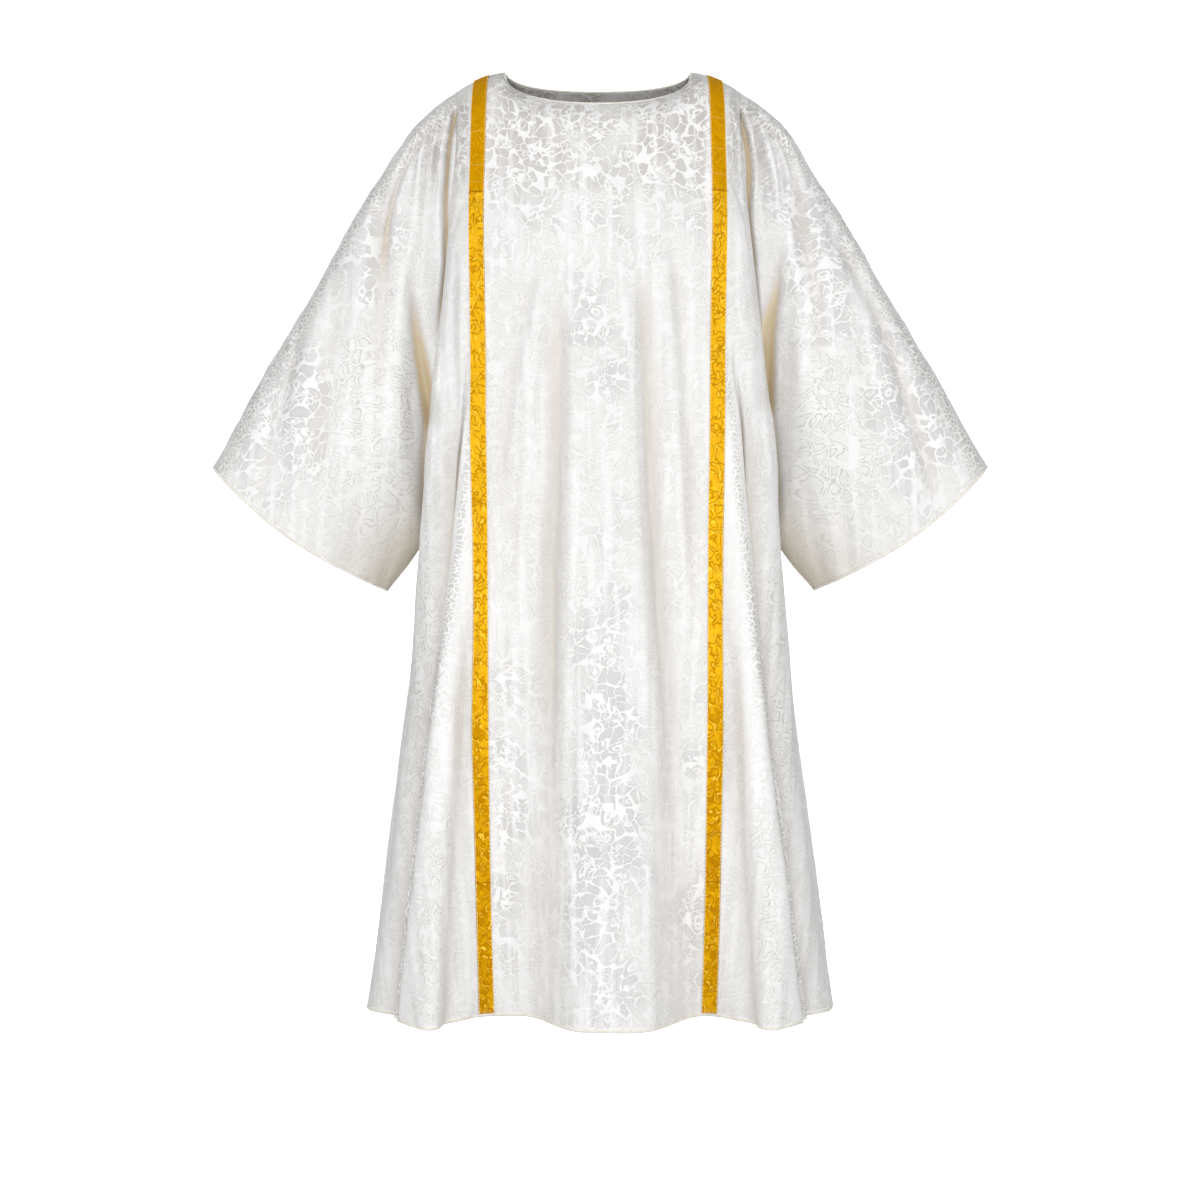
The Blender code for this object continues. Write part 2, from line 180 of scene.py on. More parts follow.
def section(name, down):
    """One size of the body's section at a level."""
    downs = column(SECTIONS, SECTION_COLUMNS, "down")
    return np.maximum(through(downs, column(SECTIONS, SECTION_COLUMNS, name), down), 0.0)


def ease(x):
    """0 to 1 with no corner at either end."""
    x = np.clip(x, 0.0, 1.0)
    return x * x * (3 - 2 * x)


def unit(vectors):
    return vectors / np.maximum(np.linalg.norm(vectors, axis=-1, keepdims=True), 1e-12)


print("depth of the front at the underarm:", round(float(section("front", UNDERARM)), 4))

# %% [markdown]
# ## Front and back as fine grids
# A grid of points is the easiest cloth to shape by hand: rows run level round the body and
# columns hang from the shoulder seam to the hem, as the threads do.  The columns are spaced
# by the length of cloth between them, with exact lines along both edges of the gold bands.
# A subdivided coarse mesh would round those edges and drift off the plain walls.
# %% Grid density
INNER = 48                # columns from the middle to a gold band
NECK = 42                 # of which to the neck point
BAND = 6                  # across a gold band
OUTER = 78                # from the band to the side
MIDDLE = INNER + BAND + OUTER
ARC_ROWS = 26             # over the shoulder
SLEEVE_ROWS = 66          # from the chest to the underarm
SKIRT_ROWS = 84           # from the underarm to the hem
UNDERARM_ROW = ARC_ROWS + SLEEVE_ROWS
FINE = 721                # points that measure a section's length


def flute_depth(panel, x, down):
    """How far the flutes push a panel out at a level."""
    total = np.zeros_like(np.asarray(x, float))
    for row in FLUTES:
        flute = dict(zip(FLUTE_COLUMNS, row))
        if flute["panel"] != panel or down <= flute["starts"]:
            continue
        grown = (down - flute["starts"]) / (LENGTH - flute["starts"])
        middle = flute["x_start"] + (flute["x_hem"] - flute["x_start"]) * grown
        width = flute["w_start"] + (flute["w_hem"] - flute["w_start"]) * grown
        total += (flute["rise"] * grown ** FLUTE_GROWTH
                  * np.exp(-np.abs((x - middle) / width) ** flute["square"]))
    return total


print("columns from the middle to a side:", MIDDLE, "and flutes:", len(FLUTES))

# %% [markdown]
# Four deep folds stand at the corners of the skirt, outside the gold bands.  Their lines are
# listed once, as x and z in millimetres, because the grid, the creases and the finish all use
# them.  The grid's columns gather there, so that each fold is made of enough points.
# %% Corner folds
CORNERS = {
    ("front", "right"): ((-161, -350), (-166, -418), (-171, -463), (-178, -521), (-182.5, -563),
     (-187, -615), (-202, -737), (-215, -834), (-233, -985), (-248, -1117), (-261, -1230)),
    ("front", "left"): ((171, -345), (173, -392), (178.5, -428), (183.5, -463), (186, -498),
     (188.5, -533), (193, -580), (197, -620), (203, -690), (215, -809), (231, -940), (248, -1084),
     (265, -1230)),
    ("back", "right"): ((-170, -360), (-178, -480), (-187, -600), (-203, -740), (-224, -900),
     (-248, -1100), (-262, -1230)),
    ("back", "left"): ((172, -390), (179, -500), (189, -630), (208, -790), (230, -960),
     (251, -1120), (262, -1230)),
}

GATHER, GATHER_WIDTH = 4.0, 0.009
GATHER_LEAD, GATHER_FADE = 0.03, 0.10     # begins above the fold, full strength further down
GATHER_POINTS = 400       # that measure how close together the columns stand


def outer_stops(panel, side, down, start, end, x, length):
    """Places of the outer columns along the cloth, close together at the corner fold."""
    path = np.array(CORNERS[panel, side]) / 1000
    corner = abs(float(np.interp(down, -path[:, 1], path[:, 0])))
    middle = float(np.interp(corner, x, length))
    strength = GATHER * ease((down + path[0, 1] + GATHER_LEAD) / GATHER_FADE)
    fine = np.linspace(start, end, GATHER_POINTS)
    density = 1 + strength * np.exp(-((fine - middle) / GATHER_WIDTH) ** 2)
    total = np.concatenate(([0.0], np.cumsum((density[1:] + density[:-1]) / 2)))
    return np.interp(np.linspace(0.0, total[-1], OUTER + 1), total, fine)


print("corner folds:", ", ".join(" ".join(where) for where in CORNERS))

# %% One level row
def half_row(panel, side, down):
    """Points of a level row from the middle out, and their distance along the cloth."""
    tuck = section("tuck", down)
    half = section(side, down) + tuck / 2
    depth, edge = section(panel, down), section("hole", down) + SEAM_GAP / 2
    power = 2.0 / section("corner", down)
    turn = np.linspace(0.0, math.pi / 2, FINE)
    tucked = ease((turn - TUCK_TURN) / (math.pi / 2 - TUCK_TURN))
    x = half * np.sin(turn) ** power - tuck * tucked
    y = edge + (depth - edge) * np.maximum(np.cos(turn), 0.0) ** power
    flute = flute_depth(panel, SIDE[side] * x, down) * ease((y - edge) / FLUTE_ROOT)
    y = y + flute
    length = run_along(np.stack((x, y), axis=1))
    rising = slice(0, int(np.argmax(x)) + 1)
    band = section("band", down)
    band_in = np.interp(band - BAND_WIDTH / 2, x[rising], length[rising])
    band_out = np.interp(band + BAND_WIDTH / 2, x[rising], length[rising])
    stops = np.concatenate((np.linspace(0.0, band_in, INNER + 1),
                            np.linspace(band_in, band_out, BAND + 1)[1:],
                            outer_stops(panel, side, down, band_out, length[-1], x[rising],
                                        length[rising])[1:]))
    drop = FLUTE_DROP * np.interp(stops, length, flute)
    points = np.stack((SIDE[side] * np.interp(stops, length, x),
                       FACING[panel] * np.interp(stops, length, y), -down - drop), axis=1)
    return points, SIDE[side] * stops


def level_row(panel, down):
    """A whole level row, from the wearer's right edge to the left one."""
    right, across_right = half_row(panel, "right", down)
    left, across_left = half_row(panel, "left", down)
    return (np.concatenate((right[::-1], left[1:])),
            np.concatenate((across_right[::-1], across_left[1:])))


print("cloth across the front's hem:", round(float(np.ptp(level_row("front", LENGTH)[1])), 3), "m")

# %% Neckline and shoulder seams
def top_row(panel):
    turn = np.linspace(0.0, math.pi / 2, NECK + 1)
    power = 2.0 / NECK_ROUND
    fall = np.maximum(np.cos(turn), 0.0) ** power
    fall[-1] = 0.0
    neck = np.stack((NECK_HALF * np.sin(turn) ** power,
                     SEAM_GAP / 2 + NECK_DEPTH[panel] * fall,
                     -NECK_FALL[panel] * fall), axis=1)
    inner, outer = BAND_AT_SHOULDER - BAND_WIDTH / 2, BAND_AT_SHOULDER + BAND_WIDTH / 2
    x = np.concatenate((np.linspace(NECK_HALF, inner, INNER - NECK + 1)[1:],
                        np.linspace(inner, outer, BAND + 1)[1:],
                        np.linspace(outer, SHOULDER_END, OUTER + 1)[1:]))
    share = (x - NECK_HALF) / (SHOULDER_END - NECK_HALF)
    shoulder = np.stack((x, np.full_like(x, SEAM_GAP / 2),
                         -SHOULDER_DROP * share ** SHOULDER_CURVE), axis=1)
    half = np.concatenate((neck, shoulder))
    half[:, 1] *= FACING[panel]
    return np.concatenate((half[::-1] * np.array([-1.0, 1.0, 1.0]), half[1:]))


print("points on the front's top edge:", len(top_row("front")))

# %% The whole panel
SOFT_PASSES, SOFT_ROWS = 14, 11.0


def soften_chest(grid):
    """Round off the line where the shoulder's arc meets the level rows."""
    soft = grid.copy()
    for _ in range(SOFT_PASSES):
        soft[1:-1] = (soft[:-2] + 2 * soft[1:-1] + soft[2:]) / 4
    reach = np.abs(np.arange(len(grid)) - ARC_ROWS) / SOFT_ROWS
    share = (1 - ease(reach))[:, None, None]
    return grid * (1 - share) + soft * share


def panel_grid(panel):
    """Points of a panel and the cloth's own coordinates, across and down, in metres."""
    top = top_row(panel)
    chest, across_chest = level_row(panel, CHEST)
    first = np.arcsin(np.clip(np.abs(top[:, 1]) / np.abs(chest[:, 1]), 0.0, 0.9))
    rows, across = [], []
    for share in np.linspace(0.0, 1.0, ARC_ROWS + 1)[:-1]:
        turn = first + (math.pi / 2 - first) * share
        out = (np.sin(turn) - np.sin(first)) / (1 - np.sin(first))
        fall = (np.cos(first) - np.cos(turn)) / np.cos(first)
        steps = np.stack((np.full_like(out, share), out, fall), axis=1)
        rows.append(top + (chest - top) * steps)
        across.append(top[:, 0] + (across_chest - top[:, 0]) * share)
    levels = np.concatenate((np.linspace(CHEST, UNDERARM, SLEEVE_ROWS + 1),
                             np.linspace(UNDERARM, LENGTH, SKIRT_ROWS + 1)[1:]))
    for down in levels:
        points, place = level_row(panel, float(down))
        rows.append(points)
        across.append(place)
    grid = soften_chest(np.array(rows))
    down = run_along(grid)
    down -= down[ARC_ROWS]
    return grid, np.stack((np.array(across), -down), axis=2)


panel_points, panel_cloth = {}, {}
for panel in FACING:
    panel_points[panel], panel_cloth[panel] = panel_grid(panel)
    print(panel, "grid:", panel_points[panel].shape[:2])


# %% Which way the cloth faces
def grid_normals(grid, outward):
    normals = unit(np.cross(np.gradient(grid, axis=0), np.gradient(grid, axis=1)))
    return normals * outward


def flatten(normals, axis):
    """Take one axis out, so that the edge of the cloth stays on its seam."""
    normals[..., axis] = 0.0
    return unit(normals)


def panel_normals(panel, grid):
    normals = grid_normals(grid, -FACING[panel])
    for outward in (-1, 1):
        neck_point = MIDDLE + outward * NECK
        normals[0, neck_point] = normals[0, neck_point + outward]
    on_shoulder = np.abs(grid[0, :, 0]) >= NECK_HALF - CLOTH / 10
    normals[0, on_shoulder] = flatten(normals[0, on_shoulder], 1)
    for edge in (0, -1):
        normals[UNDERARM_ROW:, edge] = flatten(normals[UNDERARM_ROW:, edge], 1)
    return normals


print("the middle of the front's hem faces",
      panel_normals("front", panel_points["front"])[-1, MIDDLE].round(2))

# %% [markdown]
# ## Sleeves as tubes of rings
# Each sleeve starts on the edge of its armhole and opens towards the cuff, so it is a tube
# of closed rings.  The first ring is the edge of the two panels, moved out by the seam's gap;
# a separate tube pushed into the body would cross the panels and never look sewn.
# %% Sleeve rings
SLEEVE_STEPS = 150
SLEEVE_CROWD = 1.3        # above 1, rings stand closer together near the armhole
SLEEVE_ROUND = 2.2        # power of a ring's section, 2 for an ellipse
SLEEVE_FULLEST = 0.85     # below 1, a ring is fullest above its middle
SLEEVE_OPEN = 0.35        # share of the length by which the sleeve has its own section
SEAM_HOLD = 3             # power with which the armhole's shape dies away


def joined(front, back):
    """A closed loop along the front's edge and back along the back's; they meet at the seam."""
    front = front.copy()
    front[[0, -1], 1] = 0.0
    return np.concatenate((front, back[-2:0:-1]))


def armhole_loop(side):
    """Edge of the armhole: down the front from the shoulder, then up the back."""
    edge = -1 if side == "left" else 0
    loop = joined(panel_points["front"][:UNDERARM_ROW + 1, edge],
                  panel_points["back"][:UNDERARM_ROW + 1, edge])
    loop[:, 0] += SIDE[side] * SEAM_GAP
    return loop


def sleeve_grid(side):
    loop = armhole_loop(side)
    count, low = len(loop), len(loop) // 2
    alongs = column(SLEEVE_RINGS, SLEEVE_COLUMNS, "along")
    drop = (-loop[:, 2] - SHOULDER_DROP) / (UNDERARM - SHOULDER_DROP)
    even = (1 - np.cos(2 * math.pi * np.arange(count) / count)) / 2
    facing = np.sign(np.arange(count) - low)
    facing[0] = 0
    rings = []
    places = np.linspace(0.0, 1.0, SLEEVE_STEPS + 1) ** SLEEVE_CROWD
    for along in places:
        value = {name: float(through(alongs, column(SLEEVE_RINGS, SLEEVE_COLUMNS, name), along))
                 for name in SLEEVE_COLUMNS[1:]}
        share = np.clip(drop + (even - drop) * along, 0.0, 1.0)
        round_part = 1 - np.abs(2 * share ** SLEEVE_FULLEST - 1) ** SLEEVE_ROUND
        round_part = round_part ** (1 / SLEEVE_ROUND)
        open_part = ease(along / SLEEVE_OPEN)
        y = loop[:, 1] * (1 - open_part) + facing * value["half"] * round_part * open_part
        sweep = CUFF_SWEEP * along * np.sin(math.pi * share)
        out = value["top_out"] + (value["low_out"] - value["top_out"]) * share
        out = out + SLEEVE_SLOPE[0] * sweep + (LEFT_REACH * along if side == "left" else 0.0)
        down = value["top_down"] + (value["low_down"] - value["top_down"]) * share
        rings.append(np.stack((SIDE[side] * out, y, -down - SLEEVE_SLOPE[1] * sweep), axis=1))
    rings = np.array(rings)
    near = (1 - places) ** SEAM_HOLD
    return rings + near[:, None, None] * (loop - rings[0])[None]


def ring_normals(rings, side):
    along = np.gradient(rings, axis=0)
    around = np.roll(rings, -1, axis=1) - np.roll(rings, 1, axis=1)
    normals = unit(np.cross(around, along)) * SIDE[side]
    normals[0] = flatten(normals[0], 0)
    return normals


print("armhole:", round(float(run_along(armhole_loop("left"))[-1]), 3), "m round")

# %% The sleeve's own cloth coordinates
def sleeve_cloth(rings):
    """Each ring is laid out straight from the sleeve's top line; both walls share a side."""
    low = rings.shape[1] // 2
    step = np.linalg.norm(np.roll(rings, -1, axis=1) - rings, axis=2)
    start = np.zeros((len(rings), 1))
    front = np.concatenate((start, np.cumsum(step[:, :low], axis=1)), axis=1)
    back = np.concatenate((start, np.cumsum(step[:, low:][:, ::-1], axis=1)), axis=1)
    across = np.concatenate((front, back[:, 1:][:, ::-1][:, 1:]), axis=1)
    top = rings[:, 0, ::2]
    ray = unit(rings[:, low, ::2] - top)
    return top[:, None] + ray[:, None] * across[..., None]


def sleeve_weave(rings):
    """The same, but the back wall is unfolded past the top line and the ring ends below."""
    low = rings.shape[1] // 2
    flat = sleeve_cloth(rings)
    top = flat[:, :1]
    along = unit(np.gradient(top[:, 0], axis=0))[:, None]
    back = flat[:, low:] - top
    back = 2 * np.sum(back * along, axis=2, keepdims=True) * along - back + top
    return np.concatenate((back, flat[:, :low + 1]), axis=1)


sleeve_points = {side: sleeve_grid(side) for side in SIDE}
sleeve_weaves = {side: sleeve_weave(sleeve_points[side]) for side in SIDE}
sleeve_places = {side: sleeve_cloth(sleeve_points[side]) for side in SIDE}
print("sleeve grid:", sleeve_points["left"].shape[:2])

# %% [markdown]
# ## Creases, placed one by one
# Heavy damask hangs in long soft folds that start under the flat yoke, and no two are alike.
# Each main crease is one row of a table, all in millimetres: its depth (a ridge is negative),
# how wide it is on each hand, over what lengths it fades in and out, and then its path, as x
# and z.  The rows stand under the piece that they are on and the side that they are seen from,
# and left and right are those of someone who looks at that side.
# A cloth simulation would place the folds by itself, and these have to be where they are.
# %% Crease table
CREASE_COLUMNS = ("depth", "left", "right", "fade_in", "fade_out")
BODY_CREASES = {
    ("front", "front"): [
        # beside the middle flute
        (11.5, 22, 16, 100, 300, (-47, -262), (-49, -320), (-53, -465), (-60, -640), (-64, -855),
         (-66, -1060)),
        (11.5, 16, 21, 80, 340, (54, -245), (60, -330), (66, -460), (74, -600), (88, -800),
         (104, -1060)),
        # shorter ones nearer the bands
        (7, 12, 10, 90, 160, (-78, -225), (-92, -310), (-104, -372), (-117, -455), (-125, -560),
         (-127, -640)),
        (7, 9, 12, 80, 200, (90, -205), (102, -300), (110, -390), (116, -490), (121, -600),
         (123, -700)),
        (-3.5, 10, 11, 100, 400, (-63, -225), (-76, -372), (-90, -540), (-100, -700), (-106, -900),
         (-104, -1130)),
        (-3.5, 10, 10, 100, 250, (69, -240), (84, -372), (95, -504), (109, -660), (119, -860)),
        (2.8, 14, 14, 100, 220, (-20, -290), (-22, -420), (-30, -590)),
        (2.6, 12, 14, 120, 200, (26, -420), (30, -560), (30, -720)),
        # outside the bands
        (-3, 8, 7, 60, 100, (-170, -230), (-170, -380), (-171, -560)),
        (8, 16, 15, 200, 0, (-160, -700), (-166, -860), (-174, -1020), (-182, -1230)),
        (8, 15, 16, 200, 0, (162, -700), (168, -860), (176, -1020), (186, -1230)),
        # small slanting folds between a band and its sleeve
        (2.2, 4, 5, 20, 20, (-160, -108), (-168, -124), (-180, -148)),
        (2.2, 5, 4, 20, 20, (-163, -142), (-174, -156), (-186, -168)),
        (2.6, 5, 6, 30, 30, (-163, -170), (-176, -194), (-186, -222), (-190, -260)),
        (2.4, 5, 4, 20, 30, (166, -113), (179, -133), (187, -150), (189, -180)),
        (2.6, 6, 5, 30, 40, (168, -147), (183, -185), (191, -226), (196, -270)),
        (1.6, 4, 4, 20, 20, (168, -95), (176, -102), (186, -104)),
    ],
    ("back", "back"): [
        (11, 20, 18, 100, 300, (52, -250), (56, -420), (62, -640), (66, -900), (70, -1100)),
        (10.5, 17, 21, 120, 280, (-58, -280), (-62, -440), (-76, -680), (-88, -900), (-92, -1080)),
        (5.8, 11, 12, 90, 180, (86, -230), (101, -330), (116, -460), (124, -640)),
        (5.2, 12, 10, 80, 200, (-92, -250), (-106, -380), (-118, -520), (-124, -690)),
        (3, 15, 13, 120, 240, (-12, -260), (-16, -420), (-10, -620)),
        (-3.2, 11, 12, 100, 300, (74, -300), (90, -520), (100, -780), (104, -980)),
        (3.6, 11, 12, 120, 0, (172, -780), (178, -980), (184, -1230)),
        (3.2, 12, 11, 120, 0, (-171, -840), (-178, -1020), (-186, -1230)),
    ],
}
print("creases in the table:", {wall: len(rows) for (wall, _), rows in BODY_CREASES.items()})

# %% [markdown]
# Each corner fold is three rows along one line: a broad step down to the side's cloth, a slit
# at its foot, and a ridge a little way in.  The viewer's left and right swap from side to side.
# %% Creases of the corner folds
CORNER_COLUMNS = ("depth", "outer", "inner", "inset")
CORNER_ROWS = (
    (12, 30, 4, 0),
    (11, 3.2, 2.6, 0),
    (-9, 11, 30, 16),
)
CORNER_FADE = 200         # over which a corner fold begins; it runs out at the hem

for (panel, side), path in CORNERS.items():
    for row in CORNER_ROWS:
        part = dict(zip(CORNER_COLUMNS, row))
        widths = (part["outer"], part["inner"])
        if SIDE[side] * FACING[panel] < 0:
            widths = widths[::-1]
        moved = [(x - SIDE[side] * part["inset"], z) for x, z in path]
        BODY_CREASES[panel, panel].append((part["depth"], *widths, CORNER_FADE, 0, *moved))
print(sum(len(rows) for rows in BODY_CREASES.values()), "creases on the front and back")

# %% [markdown]
# The sleeves pull from the top of the shoulder.  The deepest fold lies beside the body, where
# the cloth drops from the shoulder into the armhole, and the others fan out towards the cuff.
# The two sleeves differ, as they do on a wearer, and the back walls have folds of their own.
# %% Sleeve creases
SLEEVE_CREASES = {
    ("sleeve_right", "front"): [
        # fine pleats that fan out from the shoulder
        (8, 5, 4.5, 20, 80, (-196, -52), (-202, -80), (-205.7, -102), (-208.2, -137),
         (-209, -200)),
        (7.5, 5, 5, 20, 90, (-208, -54), (-215, -85), (-220, -118), (-222.3, -166), (-223, -230)),
        (7, 6, 6, 30, 100, (-222, -72), (-241.2, -109), (-255.5, -137), (-264, -166),
         (-272.1, -237), (-274.4, -300)),
        (5, 4.5, 4.5, 30, 80, (-215, -62), (-231, -100), (-238, -140), (-240, -190)),
        (7.5, 15, 14, 90, 140, (-262, -120), (-278, -190), (-276, -260), (-278, -330),
         (-280, -430), (-284, -500)),
        (-4, 10, 11, 50, 100, (-222, -80), (-232, -150), (-240, -225), (-254, -300), (-258, -400)),
        (5.5, 18, 19, 120, 100, (-318, -230), (-338, -330), (-354, -430), (-368, -560)),
        (4, 14, 14, 120, 0, (-360, -280), (-400, -400), (-432, -560)),
        (4.2, 16, 14, 120, 0, (-296, -420), (-306, -540), (-318, -640)),
    ],
    ("sleeve_right", "back"): [
        (2.8, 5, 5, 50, 120, (-200, -66), (-216, -110), (-222, -170), (-224, -230)),
        (7, 14, 13, 80, 150, (-250, -110), (-266, -210), (-270, -330), (-274, -470)),
        (5.5, 17, 18, 120, 80, (-306, -220), (-334, -350), (-358, -520)),
        (4.5, 15, 13, 120, 0, (-372, -330), (-410, -440), (-440, -540)),
    ],
    ("sleeve_left", "front"): [
        (7.5, 4.5, 5, 20, 80, (196, -56), (203, -80), (207, -106), (210.5, -150), (211, -200)),
        (8, 5, 5, 20, 90, (204, -54), (215.6, -71), (227, -100), (234, -130), (236.9, -166),
         (238, -230)),
        (7, 6, 6, 30, 100, (220, -68), (236.9, -95), (251.1, -130), (260, -170), (264, -240)),
        (5, 4.5, 4.5, 30, 80, (200, -90), (216, -130), (222, -170), (223.5, -215)),
        (7, 12, 15, 80, 140, (245, -130), (262, -220), (278, -300), (276, -390), (272, -480)),
        (6, 14, 14, 80, 0, (286, -180), (330, -260), (372, -350), (402, -440), (432, -540)),
        (5, 17, 18, 120, 120, (322, -270), (336, -340), (344, -440), (350, -540)),
        (-3.5, 10, 10, 60, 120, (212, -70), (228, -140), (250, -240), (258, -340)),
        (4, 15, 15, 120, 0, (300, -430), (308, -540), (322, -640)),
    ],
    ("sleeve_left", "back"): [
        (2.8, 5, 5, 50, 120, (204, -68), (220, -116), (227, -180), (229, -240)),
        (6.5, 13, 15, 80, 140, (256, -120), (274, -230), (280, -350), (284, -470)),
        (6, 16, 16, 100, 0, (310, -200), (352, -310), (390, -420), (424, -550)),
    ],
}

print(sum(len(rows) for rows in SLEEVE_CREASES.values()), "creases on the sleeves")


# %% [markdown]
# A path is only x and z, so it is first laid on the cloth.  Then every point near it finds
# its nearest place on that line, and moves in or out by a soft profile of that distance.
# %% Lay a crease's path on the cloth
STEP = 0.010              # between the points of a laid path
FACES_VIEW = 0.05         # least share of a normal that points at the viewer
NEIGHBOURS = 6            # points of the cloth that settle one point of the path
PATH_PASSES = 4           # of smoothing


def read_row(row):
    """A table row in metres: its sizes by name, and its path."""
    count = len(CREASE_COLUMNS)
    return dict(zip(CREASE_COLUMNS, np.array(row[:count]) / 1000)), np.array(row[count:]) / 1000


def lay_path(points, normals, seen, path):
    """Points along a path, lifted onto the wall that faces the viewer."""
    run = run_along(path)
    places = np.linspace(0.0, run[-1], int(run[-1] / STEP) + 2)
    x, z = through(run, path[:, 0], places), through(run, path[:, 1], places)
    wall = points[normals[..., 1] * FACING[seen] > FACES_VIEW]
    apart = (wall[:, 0] - x[:, None]) ** 2 + (wall[:, 2] - z[:, None]) ** 2
    near = np.argpartition(apart, NEIGHBOURS, axis=1)[:, :NEIGHBOURS]
    weight = 1 / (np.take_along_axis(apart, near, axis=1) + 1e-6)
    y = (weight * wall[near, 1]).sum(axis=1) / weight.sum(axis=1)
    for _ in range(PATH_PASSES):
        y[1:-1] = (y[:-2] + 2 * y[1:-1] + y[2:]) / 4
    return np.stack((x, y, z), axis=1)


print("a laid path has a point every", 1000 * STEP, "mm")

# %% The nearest place on a line
def inside(points, line, reach):
    """Which points are in the box round a line."""
    low, high = line.min(axis=0) - reach, line.max(axis=0) + reach
    return np.all((points > low) & (points < high), axis=-1)


def nearest(spots, line):
    """Where a line comes nearest: how far off, in which segment, how far along, which way."""
    best = np.full(len(spots), np.inf)
    segment, share = np.zeros(len(spots), int), np.zeros(len(spots))
    offset = np.zeros_like(spots)
    for k, along in enumerate(np.diff(line, axis=0)):
        t = np.clip((spots - line[k]) @ along / (along @ along), 0.0, 1.0)
        off = spots - line[k] - t[:, None] * along
        far = np.linalg.norm(off, axis=1)
        nearer = far < best
        best[nearer], segment[nearer], share[nearer] = far[nearer], k, t[nearer]
        offset[nearer] = off[nearer]
    return best, segment, share, offset


print("from a corner of a square to the far side:",
      nearest(np.array([[1.0, 1.0]]), np.array([[0.0, 0.0], [1.0, 0.0]]))[0])

# %% Press one crease
SPREAD = 3.2              # how many widths out a crease is felt
FALLOFF = 0.7             # of the profile, per width squared
CREASE_LIP, VALLEY_LIP = 0.6, 0.3     # how much of a lip stands up on each hand


def profile(r, lip):
    """Depth of a fold at `r` widths from its line."""
    return (1 - lip * r * r) * np.exp(-FALLOFF * r * r)


def press(points, normals, seen, row):
    """How far each point moves along its normal: a trough with a low lip on each hand."""
    crease, path = read_row(row)
    line = lay_path(points, normals, seen, path)
    close = inside(points, line, SPREAD * max(crease["left"], crease["right"]))
    best, segment, share, offset = nearest(points[close], line)
    along = np.diff(line, axis=0)[segment]
    hand = np.sum(offset * np.cross(along, normals[close]), axis=1)
    length = run_along(line)[-1]
    run = (segment + share) / (len(line) - 1) * length
    fade = ease(run / crease["fade_in"])
    if crease["fade_out"]:
        fade = fade * ease((length - run) / crease["fade_out"])
    moved = np.zeros(points.shape[:2])
    r = best / np.where(hand > 0, crease["left"], crease["right"])
    moved[close] = -crease["depth"] * profile(r, CREASE_LIP) * fade
    return moved


def press_all(points, normals, table, name):
    """Every crease of one piece, added up."""
    return sum(press(points, normals, seen, row) for (wall, seen), rows in table.items()
               if wall == name for row in rows)


print("depth at 0, 1 and 2 widths:", profile(np.arange(3), CREASE_LIP).round(2))

# %% [markdown]
# Between the main creases real cloth is never quite even.  Long shallow waves with seeded
# random phases are added, much longer down the cloth than across it, with small crumples
# on top.  Everything fades out at the seams, so that sewn pieces still meet there.
# %% Soft unevenness
UNEVEN = (                # how many waves, their lengths across and along, their height
    (9, (0.055, 0.14), (0.35, 1.1), 0.0010),
    (14, (0.014, 0.034), (0.22, 0.70), 0.00036),
    (14, (0.018, 0.04), (0.02, 0.05), 0.00009),
)
UNEVEN_SEED = {"front": 11, "back": 21, "right": 51, "left": 61}


def waves(cloth, seed, count, across, along, height):
    """Sum of shallow waves; `across` and `along` are the shortest and longest lengths."""
    random = np.random.default_rng(seed)
    total = np.zeros(cloth.shape[:2])
    for _ in range(count):
        k = 2 * math.pi / random.uniform(*across) * random.choice((-1, 1))
        m = 2 * math.pi / random.uniform(*along)
        turn = random.uniform(0, 2 * math.pi)
        total += np.sin(k * cloth[..., 0] + m * cloth[..., 1] + turn)
    return height * total / math.sqrt(count)


def unevenness(cloth, piece):
    return sum(waves(cloth, UNEVEN_SEED[piece] + k, *row) for k, row in enumerate(UNEVEN))


print("unevenness is up to", round(1000 * sum(row[-1] for row in UNEVEN), 2), "mm a wave")


